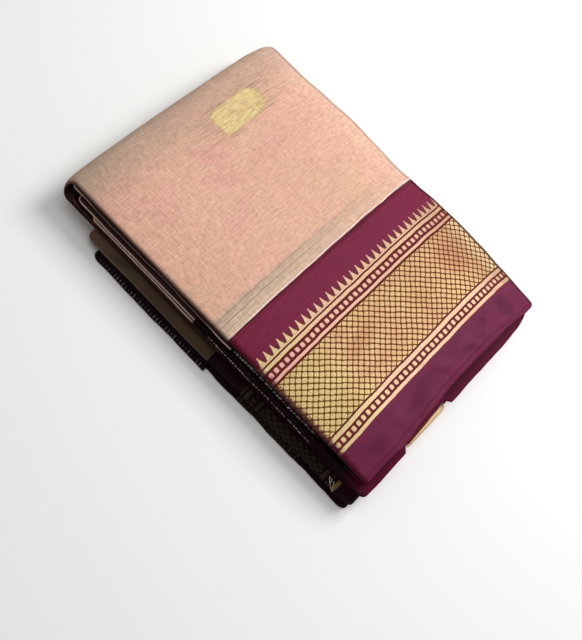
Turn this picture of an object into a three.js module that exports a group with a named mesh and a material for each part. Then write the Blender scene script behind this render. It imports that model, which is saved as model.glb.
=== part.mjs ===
// A saree folded into a flat packet. Millimetres, +Z up.
// X is the packet's width, with the splayed layers at low X.
// Y is its length, with the rounded fold at high Y and the selvedge at low Y.
// The origin is on the ground, under the middle of the bounding box.
//
// Every layer is placed by its nominal height, which is its height where the packet is
// at full height. The crown then lowers it towards the packet's edges.

import * as THREE from 'three';

// Whole packet
const FULL_HEIGHT = 45;
const FOLD_TIP_Y = 190;
const ORIGIN_SHIFT = { x: 11.846, y: 1.734 };

// Top panel, a doubled cloth that rolls over both long edges
const PANEL_LEFT = -136;
const PANEL_RIGHT = 134.5;
const PANEL_THICKNESS = 1.5;
const ROLL_RADIUS = 4;
const JOIN_Y = -14;
const SELVEDGE_Y = -185.4;

// Far fold, which turns under and comes back along the packet
const UNDER_LEVEL = 22.8;
const UNDER_LEFT = -145.5;
const UNDER_RIGHT = 126;
const UNDER_END_Y = -12;
const TURN_RADIUS = (FULL_HEIGHT - UNDER_LEVEL) / 2;
const TURN_CENTRE_Y = FOLD_TIP_Y - TURN_RADIUS;
const TURN_CENTRE_Z = UNDER_LEVEL + TURN_RADIUS;
const TURN_STEPS = 9;
const TURN_CORNER = { reach: 15, left: 0.8, right: 0.45 };

// Crown: how far the top of the packet drops towards its edges
const CROWN = {
  left: { drop: 5, reach: 60 },
  right: { drop: 13, reach: 84 },
  near: { drop: 3.5, reach: 60 },
};

// Soft wrinkles along the plain cloth by the selvedge: place across, width, height
const WRINKLE_START_Y = -146;
const WRINKLES = [
  { x: -98, half: 17, rise: 0.7 },
  { x: -41, half: 21, rise: 1.5 },
  { x: 16, half: 15, rise: 0.9 },
  { x: 58, half: 19, rise: 1.7 },
  { x: 103, half: 14, rise: 1.1 },
];

// The long right edge is bowed: places along it, and how far it stands out there
const BOW_START_X = 40;
const RIGHT_BOW = [
  { at: -210, out: -3.3 },
  { at: -170, out: -3.5 },
  { at: -140, out: -2.5 },
  { at: -110, out: -0.3 },
  { at: -80, out: 0.7 },
  { at: -50, out: -0.3 },
  { at: -20, out: -2.7 },
  { at: 5, out: -4.5 },
  { at: 35, out: -3.1 },
  { at: 70, out: -1.8 },
  { at: 105, out: -4 },
  { at: 140, out: -6.5 },
  { at: 210, out: -7 },
];

// The top panel's selvedge wanders: places across, and how far it hangs out there
const NEAR_CORNER_RADIUS = 9;
const WANDER = [
  { at: -136, out: 0 },
  { at: -112, out: -0.7 },
  { at: -81, out: 0.8 },
  { at: -60, out: -1.8 },
  { at: -10, out: -3.8 },
  { at: 20, out: -3.9 },
  { at: 52, out: -2.8 },
  { at: 76, out: -1.9 },
  { at: 100, out: 0.4 },
  { at: 117, out: 2.8 },
  { at: 136, out: 3.9 },
];

// Seam left between pieces that touch
const SEAM = 0.35;

// Stations shared by all the layers, so that their faces stay parallel
const STATIONS_X = [-132, -112, -88, -60, -24, 16, 52, 76, 94, 110, 124];
const STATIONS_Y = [-172, -152, -132, -104, -70, -34, 10, 52, 94, 134, 160, 172];
const STATION_MARGIN = 4;

// Edge profiles from the top of a layer to its underside.
// height is the share of the layer's thickness, out is how far it bulges, in millimetres.
const ROUND_EDGE = [
  { height: 1, out: 0 },
  { height: 0.8, out: 0.9 },
  { height: 0.5, out: 1.3 },
  { height: 0.2, out: 0.9 },
  { height: 0, out: 0 },
];
const CLOTH_EDGE = [
  { height: 1, out: 0 },
  { height: 0.5, out: 0.6 },
  { height: 0, out: 0 },
];
const LAYERED_EDGE = [
  { height: 1, out: 0 },
  { height: 0.85, out: 1.2 },
  { height: 0.67, out: 0.3 },
  { height: 0.5, out: 1.6 },
  { height: 0.33, out: 0.5 },
  { height: 0.16, out: 1.7 },
  { height: 0, out: 0.6 },
];
const DRAPED_EDGE = [
  { height: 1, out: 0 },
  { height: 0.86, out: 2.1 },
  { height: 0.6, out: 3.8 },
  { height: 0.3, out: 5 },
  { height: 0.1, out: 5.2 },
  { height: 0, out: 4.2 },
];

// Layers from the ground up. Heights are nominal; near and far are the ends along Y.
// A slack edge may wander: wave is its depth, pitch the length of one wave.
// A step moves part of the selvedge end back, or out where back is negative.
// A joined end meets the next stretch of the same cloth, so it is cut flat.
const LAYERS = [
  {
    name: 'lower_band_far', low: 0, high: 8.8, left: -153, right: 112, near: -15, far: 127.5,
    edge: DRAPED_EDGE, cloth: 'zari_band', wave: 0.5, pitch: 90, joined: 'near',
  },
  {
    name: 'lower_band_near', low: 0, high: 8.8, left: -149.2, right: 112, near: -186.5, far: -15 - SEAM,
    edge: DRAPED_EDGE, cloth: 'border', wave: 0.7, pitch: 70, joined: 'far',
  },
  {
    name: 'draped_bundle_body', low: 9.15, high: 22.4, left: -147, right: 116, near: -12, far: 142,
    edge: DRAPED_EDGE, cloth: 'body_shaded', wave: 0.4, pitch: 110, joined: 'near',
  },
  {
    name: 'draped_bundle_border', low: 9.15, high: 22.4, left: -146.2, right: 116, near: -188,
    far: -12 - SEAM, edge: DRAPED_EDGE, cloth: 'border', wave: 0.6, pitch: 80, joined: 'far',
  },
  {
    name: 'striped_selvedge', low: 22.95, high: 24.4, left: -141, right: 122, near: -183.5,
    far: -12 - SEAM, edge: CLOTH_EDGE, cloth: 'border', wave: 0.4, pitch: 95, joined: 'far',
    step: { from: -76, to: -22, ease: 3, back: -8.9 },
  },
  {
    name: 'turned_under_layers', low: 24.85, high: 29.6, left: -142.6, right: 124, near: -182,
    far: 176, edge: LAYERED_EDGE, cloth: 'body_shaded', wave: 0.4, pitch: 120,
  },
  {
    name: 'inner_panel_two_body', low: 30, high: 31.7, left: -143, right: 126, near: 20, far: 150,
    edge: CLOTH_EDGE, cloth: 'body', wave: 0.3, pitch: 140, joined: 'near',
  },
  {
    name: 'inner_panel_one_body', low: 32.1, high: 33.8, left: -141.4, right: 127, near: 20,
    far: 171, edge: CLOTH_EDGE, cloth: 'body', wave: 0.3, pitch: 140, joined: 'near',
  },
  {
    name: 'inner_fold_border', low: 30, high: 33.8, left: -142.2, right: 124, near: -192,
    far: 20 - SEAM, edge: ROUND_EDGE, cloth: 'border', wave: 0.5, pitch: 85, joined: 'far',
    step: { from: -80, to: -20, ease: 5, back: 6.4 }, taper: { from: 84, back: 5 },
  },
  {
    name: 'middle_layers', low: 34.4, high: 37.1, left: -133, right: 127, near: -181, far: 179,
    edge: ROUND_EDGE, cloth: 'body_shaded', wave: 0, pitch: 1,
  },
  {
    name: 'second_panel_body', low: 37.5, high: 38.7, left: -137.6, right: 128, near: -21,
    far: 182.5, edge: CLOTH_EDGE, cloth: 'body', wave: 0.8, pitch: 120, joined: 'near',
  },
  {
    name: 'second_panel_border', low: 37.5, high: 38.7, left: -136.8, right: 128, near: -182,
    far: -21 - SEAM, edge: CLOTH_EDGE, cloth: 'border', wave: 0.6, pitch: 75, joined: 'far',
  },
  {
    name: 'upper_layers', low: 39.05, high: 43.0, left: -129.6, right: 129.6, near: -181,
    far: 177, edge: ROUND_EDGE, cloth: 'body_shaded', wave: 0, pitch: 1,
  },
];

const CLOTHS = {
  body: { color: 0xe6bda4, roughness: 0.6 },
  body_shaded: { color: 0xa98d72, roughness: 0.7 },
  border: { color: 0x7a2848, roughness: 0.5 },
  zari_band: { color: 0x4a1a26, roughness: 0.5 },
};

/** Smooth step from 0 at a to 1 at b. */
function ease(a, b, value) {
  const t = Math.min(Math.max((value - a) / (b - a), 0), 1);
  return t * t * (3 - 2 * t);
}

/** Share of the full height that the packet has over a point of its plan. */
function crown(x, y) {
  const square = (distance, reach) => Math.max(1 - distance / reach, 0) ** 2;
  const left = CROWN.left.drop * square(Math.max(x - PANEL_LEFT, 0), CROWN.left.reach);
  const right = CROWN.right.drop * square(Math.max(PANEL_RIGHT - x, 0), CROWN.right.reach);
  const near = CROWN.near.drop * square(Math.max(y - SELVEDGE_Y, 0), CROWN.near.reach);
  return 1 - (left + right + near) / FULL_HEIGHT;
}

/** Eased reading of a table of places at one place. */
function read(table, place) {
  const next = Math.max(table.findIndex((row) => row.at >= place), 1);
  const from = table[next - 1];
  const to = table[next];
  return from.out + (to.out - from.out) * ease(from.at, to.at, place);
}

/** How far the top panel's selvedge hangs out at a place across it. */
function wander(x) {
  const inCorner = Math.max(x - PANEL_RIGHT + NEAR_CORNER_RADIUS, 0);
  const rounded = NEAR_CORNER_RADIUS - Math.sqrt(NEAR_CORNER_RADIUS ** 2 - inCorner ** 2);
  return read(WANDER, x) - rounded;
}

/** Extra height of the top panel's wrinkles by the selvedge. */
function wrinkle(x, y) {
  const strength = ease(WRINKLE_START_Y, SELVEDGE_Y, y);
  return WRINKLES.reduce((sum, fold) => {
    const t = Math.min(Math.abs(x - fold.x) / fold.half, 1);
    return sum + strength * fold.rise * (0.5 + 0.5 * Math.cos(Math.PI * t));
  }, 0);
}

/** A point of the packet from its nominal height. */
function place(x, y, nominal) {
  const bow = read(RIGHT_BOW, y) * ease(BOW_START_X, PANEL_RIGHT, x);
  return [x + bow + ORIGIN_SHIFT.x, y + ORIGIN_SHIFT.y, nominal * crown(x, y)];
}

/** How far a layer's selvedge is moved back at a place across the packet. */
function setBack({ step, taper }, x) {
  let back = 0;
  if (step) {
    const rise = ease(step.from - step.ease, step.from, x);
    back += step.back * (rise - ease(step.to, step.to + step.ease, x));
  }
  if (taper) back += taper.back * ease(taper.from, PANEL_RIGHT, x) ** 2;
  return back;
}

/** The shared stations between two ends, with the ends themselves. */
function stationsBetween(shared, low, high) {
  const inside = shared.filter((s) => s > low + STATION_MARGIN && s < high - STATION_MARGIN);
  return [low, ...inside, high];
}

/** Gathers triangles and makes the named mesh. */
class Shell {
  constructor() {
    this.points = [];
    this.faces = [];
  }

  add(point) {
    this.points.push(...point);
    return this.points.length / 3 - 1;
  }

  quad(a, b, c, d) {
    this.faces.push(a, b, c, a, c, d);
  }

  mesh(name, cloth) {
    const geometry = new THREE.BufferGeometry();
    geometry.setAttribute('position', new THREE.Float32BufferAttribute(this.points, 3));
    geometry.setIndex(this.faces);
    geometry.computeVertexNormals();
    const material = new THREE.MeshStandardMaterial({ ...CLOTHS[cloth], side: THREE.FrontSide });
    material.name = cloth;
    const mesh = new THREE.Mesh(geometry, material);
    mesh.name = name;
    return mesh;
  }
}

/** One layer or bundle: two crowned faces joined by an edge profile all round. */
function layer(spec) {
  const shell = new Shell();
  const xs = stationsBetween(STATIONS_X, spec.left, spec.right);
  if (spec.step) {
    const { from, to, ease: run } = spec.step;
    xs.push(from - run, from, to, to + run);
    xs.sort((a, b) => a - b);
  }
  const ys = stationsBetween(STATIONS_Y, spec.near, spec.far);
  const last = { x: xs.length - 1, y: ys.length - 1 };

  const plan = (i, j) => {
    let x = xs[i];
    let y = ys[j];
    if (i === 0) x += spec.wave * Math.sin((2 * Math.PI * y) / spec.pitch);
    if (j === 0) y += setBack(spec, x);
    return { x, y };
  };
  const face = (nominal) => xs.map((_, i) => ys.map((_unused, j) => {
    const { x, y } = plan(i, j);
    return shell.add(place(x, y, nominal));
  }));

  const top = face(spec.high);
  const under = face(spec.low);
  for (let i = 0; i < last.x; i += 1) {
    for (let j = 0; j < last.y; j += 1) {
      shell.quad(top[i][j], top[i + 1][j], top[i + 1][j + 1], top[i][j + 1]);
      shell.quad(under[i][j], under[i][j + 1], under[i + 1][j + 1], under[i + 1][j]);
    }
  }

  const ring = [];
  for (let i = 0; i < last.x; i += 1) ring.push([i, 0]);
  for (let j = 0; j < last.y; j += 1) ring.push([last.x, j]);
  for (let i = last.x; i > 0; i -= 1) ring.push([i, last.y]);
  for (let j = last.y; j > 0; j -= 1) ring.push([0, j]);
  const outward = ([i, j]) => {
    const nx = (i === last.x ? 1 : 0) - (i === 0 ? 1 : 0);
    const far = j === last.y && spec.joined !== 'far' ? 1 : 0;
    const near = j === 0 && spec.joined !== 'near' ? 1 : 0;
    const length = Math.hypot(nx, far - near) || 1;
    return [nx / length, (far - near) / length];
  };
  const loops = spec.edge.map(({ height, out }, k) => {
    const nominal = spec.low + (spec.high - spec.low) * height;
    return ring.map(([i, j]) => {
      if (k === 0) return top[i][j];
      if (k === spec.edge.length - 1 && out === 0) return under[i][j];
      const [nx, ny] = outward([i, j]);
      const { x, y } = plan(i, j);
      return shell.add(place(x + nx * out, y + ny * out, nominal));
    });
  });
  if (spec.edge[spec.edge.length - 1].out > 0) {
    loops.push(ring.map(([i, j]) => under[i][j]));
  }
  for (let k = 0; k < loops.length - 1; k += 1) {
    for (let n = 0; n < ring.length; n += 1) {
      const m = (n + 1) % ring.length;
      shell.quad(loops[k][n], loops[k + 1][n], loops[k + 1][m], loops[k][m]);
    }
  }
  return shell.mesh(spec.name, spec.cloth);
}

/** Distances of the rolled edge's stations from the panel's side. */
const ROLL_STATIONS = [0, 0.5, 1.5, 2.7, ROLL_RADIUS];

/** Depth of the roll's outer or inner skin at a distance from the panel's side. */
function rollDepth(distance, wall) {
  if (distance >= ROLL_RADIUS) return wall;
  if (distance <= wall) return ROLL_RADIUS - (wall > 0 ? 0 : 0.4);
  const radius = ROLL_RADIUS - wall;
  const run = Math.min(ROLL_RADIUS - distance, radius);
  const depth = ROLL_RADIUS - Math.sqrt(radius ** 2 - run ** 2);
  return Math.min(depth, ROLL_RADIUS - (wall > 0 ? 0 : 0.4));
}

/**
 * A stretch of the top panel. Its path runs along the top and, where it turns, round the
 * far fold and back underneath. The panel is rolled over at both long edges.
 */
function panel(name, cloth, near, turned) {
  const shell = new Shell();
  const flatYs = turned
    ? stationsBetween(STATIONS_Y, near, TURN_CENTRE_Y)
    : stationsBetween(STATIONS_Y, near, JOIN_Y - SEAM);
  const path = flatYs.map((y) => ({ y, angle: 0 }));
  if (turned) {
    for (let k = 1; k <= TURN_STEPS; k += 1) {
      path.push({ y: TURN_CENTRE_Y, angle: (Math.PI * k) / TURN_STEPS });
    }
    const underYs = stationsBetween(STATIONS_Y, UNDER_END_Y, TURN_CENTRE_Y).reverse();
    underYs.slice(1).forEach((y) => path.push({ y, angle: Math.PI }));
  }

  const width = PANEL_RIGHT - PANEL_LEFT;
  const across = [
    ...ROLL_STATIONS,
    ...stationsBetween(STATIONS_X, PANEL_LEFT, PANEL_RIGHT).slice(1, -1).map((x) => x - PANEL_LEFT),
    ...ROLL_STATIONS.map((s) => width - s).reverse(),
  ];

  const skin = (distance, { y, angle }, wall) => {
    const side = Math.min(distance, width - distance);
    const fade = (1 + Math.cos(angle)) / 2;
    const depth = wall + (rollDepth(side, wall) - wall) * fade;
    const radius = TURN_RADIUS - depth;
    const splay = 1 - fade;
    const left = PANEL_LEFT + (UNDER_LEFT - PANEL_LEFT) * splay;
    const right = PANEL_RIGHT + (UNDER_RIGHT - PANEL_RIGHT) * splay;
    const x = left + ((right - left) * distance) / width;
    const corner = distance < width / 2 ? TURN_CORNER.left : TURN_CORNER.right;
    const round = corner + (1 - corner) * Math.sqrt(1 - Math.max(1 - side / TURN_CORNER.reach, 0) ** 2);
    const alongY = y + radius * Math.sin(angle) * round;
    const point = place(x, alongY, TURN_CENTRE_Z + radius * Math.cos(angle));
    if (!turned) {
      const loose = ease(WRINKLE_START_Y, SELVEDGE_Y, y);
      point[1] -= loose * wander(x);
      point[2] += wrinkle(x, y);
    }
    return point;
  };
  const sections = across.map((distance) => {
    const outer = path.map((station) => shell.add(skin(distance, station, 0)));
    const inner = path.map((station) => shell.add(skin(distance, station, PANEL_THICKNESS)));
    return [...outer, ...inner.reverse()];
  });

  const count = sections[0].length;
  for (let i = 0; i < sections.length - 1; i += 1) {
    for (let j = 0; j < count; j += 1) {
      const k = (j + 1) % count;
      shell.quad(sections[i][j], sections[i + 1][j], sections[i + 1][k], sections[i][k]);
    }
  }
  const half = count / 2;
  for (let j = 0; j < half - 1; j += 1) {
    const first = sections[0];
    const end = sections[sections.length - 1];
    shell.quad(first[j], first[j + 1], first[count - 2 - j], first[count - 1 - j]);
    shell.quad(end[j], end[count - 1 - j], end[count - 2 - j], end[j + 1]);
  }
  return shell.mesh(name, cloth);
}

const packet = new THREE.Group();
packet.name = 'folded_saree';
LAYERS.forEach((spec) => packet.add(layer(spec)));
packet.add(panel('top_panel_body', 'body', JOIN_Y, true));
packet.add(panel('top_panel_border', 'border', SELVEDGE_Y, false));

export default packet;
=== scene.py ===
"""Dresses a saree folded into a flat packet: its cloth layers, weaves, floor, light and camera.

Sizes are in millimetres in the classes and become metres where a mesh is made. X runs across
the packet, Y along it from the selvedge to the far fold, and Z is up.
"""

import logging
import math
from collections.abc import Sequence
from dataclasses import dataclass
from enum import Enum
from typing import Any

import bpy
import numpy as np
from mathutils import Matrix, Vector


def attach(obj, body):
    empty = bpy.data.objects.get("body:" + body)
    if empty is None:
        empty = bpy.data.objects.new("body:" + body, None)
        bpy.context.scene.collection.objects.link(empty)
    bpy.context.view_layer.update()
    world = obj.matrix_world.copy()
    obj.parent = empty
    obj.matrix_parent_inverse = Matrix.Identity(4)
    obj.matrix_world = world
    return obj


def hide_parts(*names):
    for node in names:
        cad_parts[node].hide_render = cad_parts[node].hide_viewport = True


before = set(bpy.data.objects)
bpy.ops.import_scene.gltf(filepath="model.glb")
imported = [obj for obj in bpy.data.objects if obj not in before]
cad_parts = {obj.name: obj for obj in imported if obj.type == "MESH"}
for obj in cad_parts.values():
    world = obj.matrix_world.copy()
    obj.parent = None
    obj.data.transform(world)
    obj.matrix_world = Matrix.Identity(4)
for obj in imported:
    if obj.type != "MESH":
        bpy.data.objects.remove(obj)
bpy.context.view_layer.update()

LOG = logging.getLogger("saree")
MM = 0.001
BODY = "root"
Array = np.ndarray

# A soft oval: its middle, half sizes, turn in degrees and strength.
Oval = tuple[tuple[float, float], tuple[float, float], float, float]


def linear(hex_colour: str) -> tuple[float, float, float, float]:
    """Turns an sRGB hex colour to linear.

    Args:
        hex_colour: a # and six hex digits, red first.

    Returns:
        Linear red, green and blue, with an alpha of 1.
    """
    parts = [int(hex_colour[i : i + 2], 16) / 255 for i in (1, 3, 5)]
    return (*(c / 12.92 if c <= 0.04045 else ((c + 0.055) / 1.055) ** 2.4 for c in parts), 1.0)


def ease(start: float, end: float, value: Array | float) -> Array:
    """Smooth step from 0 at start to 1 at end.

    Args:
        start: where the step begins.
        end: where it is complete.
        value: where it is read.

    Returns:
        The step's height at value.
    """
    t = np.clip((np.asarray(value, float) - start) / (end - start), 0, 1)
    return t * t * (3 - 2 * t)


def read(table: Sequence[tuple[float, float]], place: Array) -> Array:
    """Eased reading of a table.

    Args:
        table: rows of a place and the value there, by rising place.
        place: where it is read.

    Returns:
        The values.
    """
    total = np.full_like(np.asarray(place, float), table[0][1])
    for (start, before), (end, after) in zip(table, table[1:]):
        total += (after - before) * ease(start, end, place)
    return total


class Cloth(Enum):
    """The finishes that a layer can take."""

    BODY = "body"
    PALE_EDGE = "pale_edge"
    HIDDEN_EDGE = "hidden_edge"
    PACKED = "packed"
    # The peach body cloth in painted shade.
    SHADED_BODY = "olive"
    BORDER = "border"
    INNER_BORDER = "inner_border"
    BUNDLE_BORDER = "bundle_border"
    STRIPED_TAB = "striped_tab"
    LOW_BORDER = "low_border"
    BAR_BAND = "bar_band"


class End(Enum):
    """Which end of a layer meets the next stretch of the same cloth."""

    NONE = 0
    NEAR = -1
    FAR = 1


class Rim(Enum):
    """How a layer's edge is shaped along the splayed side."""

    THIN = "thin"
    ROUND = "round"
    PILED = "piled"
    DRAPED = "draped"


RIM_STEPS = {Rim.THIN: 5, Rim.ROUND: 9}
PILE_STEPS = 6


# The packet's form


@dataclass(frozen=True)
class Packet:
    """The folded packet's overall form, on the same sizes as its solids."""

    height: float = 45.0
    left: float = -136.0
    right: float = 134.5
    tip_y: float = 190.0
    under: float = 22.8
    join_y: float = -14.0
    selvedge_y: float = -185.4
    shift_x: float = 11.846
    shift_y: float = 1.734
    left_drop: tuple[float, float] = (5.0, 60.0)
    right_drop: tuple[float, float] = (13.0, 84.0)
    near_drop: tuple[float, float] = (3.5, 60.0)
    bow_start: float = 40.0
    right_bow: tuple[tuple[float, float], ...] = (
        (-210, -3.3), (-170, -3.5), (-140, -2.5), (-110, -0.3), (-80, 0.7), (-50, -0.3),
        (-20, -2.7), (5, -4.5), (35, -3.1), (70, -1.8), (105, -4.0), (140, -6.5), (210, -7.0),
    )

    @property
    def turn_radius(self) -> float:
        """Outer radius of the far fold."""
        return (self.height - self.under) / 2

    @property
    def turn_y(self) -> float:
        """Where along Y the far fold is centred."""
        return self.tip_y - self.turn_radius

    @property
    def turn_z(self) -> float:
        """Nominal height of the far fold's centre."""
        return self.under + self.turn_radius

    def crown(self, x: Array, y: Array) -> Array:
        """Share of the full height that the packet has over a point of its plan.

        Args:
            x: place across the packet.
            y: place along it.

        Returns:
            The share, 1 at the top of the crown.
        """

        def drop(distance: Array, size: tuple[float, float]) -> Array:
            """The fall at a distance from an edge, from its depth there and its reach."""
            return size[0] * np.maximum(1 - np.maximum(distance, 0) / size[1], 0) ** 2

        fall = drop(x - self.left, self.left_drop) + drop(self.right - x, self.right_drop)
        return 1 - (fall + drop(y - self.selvedge_y, self.near_drop)) / self.height

    def place(self, x: Array, y: Array, nominal: Array) -> Array:
        """Puts points of the packet in space.

        Args:
            x: places across the packet.
            y: places along it.
            nominal: their heights where the packet is at full height.

        Returns:
            The points in metres, one row each.
        """
        z = nominal * self.crown(x, y)
        bow = read(self.right_bow, y) * ease(self.bow_start, self.right, x)
        return np.stack([x + bow + self.shift_x, y + self.shift_y, z + 0 * x], axis=-1) * MM


PACKET = Packet()


def ripple(place: Array, pitch: float, seed: int) -> Array:
    """An uneven wave for slack edges.

    Args:
        place: where it is read, in millimetres.
        pitch: length of its longest wave.
        seed: picks another wave of the same kind.

    Returns:
        Values from about -1 to 1.
    """
    a = np.sin(place * math.tau / pitch + seed * 1.7)
    b = np.sin(place * math.tau / (pitch * 0.43) + seed * 2.9)
    c = np.sin(place * math.tau / (pitch * 0.19) + seed * 0.8)
    return 0.58 * a + 0.3 * b + 0.16 * c


@dataclass(frozen=True)
class Crease:
    """A soft ridge along a line on the cloth, higher in its middle than at its ends."""

    start: tuple[float, float]
    end: tuple[float, float]
    half: float
    rise: float

    def lift(self, u: Array, v: Array) -> Array:
        """Height of the ridge at places on the cloth.

        Args:
            u: the places across the cloth.
            v: the places along it.

        Returns:
            The heights in millimetres.
        """
        run_u, run_v = self.end[0] - self.start[0], self.end[1] - self.start[1]
        share = ((u - self.start[0]) * run_u + (v - self.start[1]) * run_v) / (run_u**2 + run_v**2)
        share = np.clip(share, 0, 1)
        away = np.hypot(u - self.start[0] - share * run_u, v - self.start[1] - share * run_v)
        across = 0.5 + 0.5 * np.cos(math.pi * np.clip(away / self.half, 0, 1))
        return self.rise * across * np.sin(math.pi * (0.12 + 0.76 * share))


def two_skins(rows: int, columns: int) -> tuple[Array, Array]:
    """Numbers the faces of two equal grids of corners, of which the second looks the other way.

    Args:
        rows: corners of a grid one way.
        columns: its corners the other way.

    Returns:
        The faces of both grids, and the corners round the rim of the first.
    """
    number = np.arange(rows * columns).reshape(rows, columns)
    a, b, c, d = number[:-1, :-1], number[1:, :-1], number[1:, 1:], number[:-1, 1:]
    first = np.stack([a, b, c, d], -1).reshape(-1, 4)
    second = np.stack([a, d, c, b], -1).reshape(-1, 4) + rows * columns
    rim = np.concatenate([number[:-1, 0], number[-1, :-1], number[:0:-1, -1], number[0, :0:-1]])
    return np.concatenate([first, second]), rim


def wall_between(first: Array, second: Array) -> Array:
    """Faces between two rings of corners, as rows of corner numbers."""
    return np.stack([first, second, np.roll(second, -1), np.roll(first, -1)], -1)


def make_piece(name: str, points: Array, faces: Array, uv: Array, edge: Array) -> bpy.types.Object:
    """Makes a smooth mesh object with a cloth map.

    Args:
        name: the piece's name.
        points: corners in metres.
        faces: rows of corner numbers.
        uv: the cloth map of each corner, in millimetres of cloth.
        edge: how far inside the free edges each corner is, in millimetres.

    Returns:
        The new object, at the origin.
    """
    mesh = bpy.data.meshes.new(name)
    mesh.from_pydata([tuple(p) for p in points], [], faces.tolist())
    layer = mesh.uv_layers.new(name="cloth_mm")
    corners = np.empty(len(mesh.loops), dtype=np.int32)
    mesh.loops.foreach_get("vertex_index", corners)
    layer.data.foreach_set("uv", uv[corners].astype(np.float32).ravel())
    inside = mesh.attributes.new("edge_mm", "FLOAT", "POINT")
    inside.data.foreach_set("value", edge.astype(np.float32))
    mesh.polygons.foreach_set("use_smooth", [True] * len(mesh.polygons))
    mesh.validate()
    mesh.update()
    piece = bpy.data.objects.new(name, mesh)
    bpy.context.scene.collection.objects.link(piece)
    return piece


# Flat layers and bundles


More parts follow.
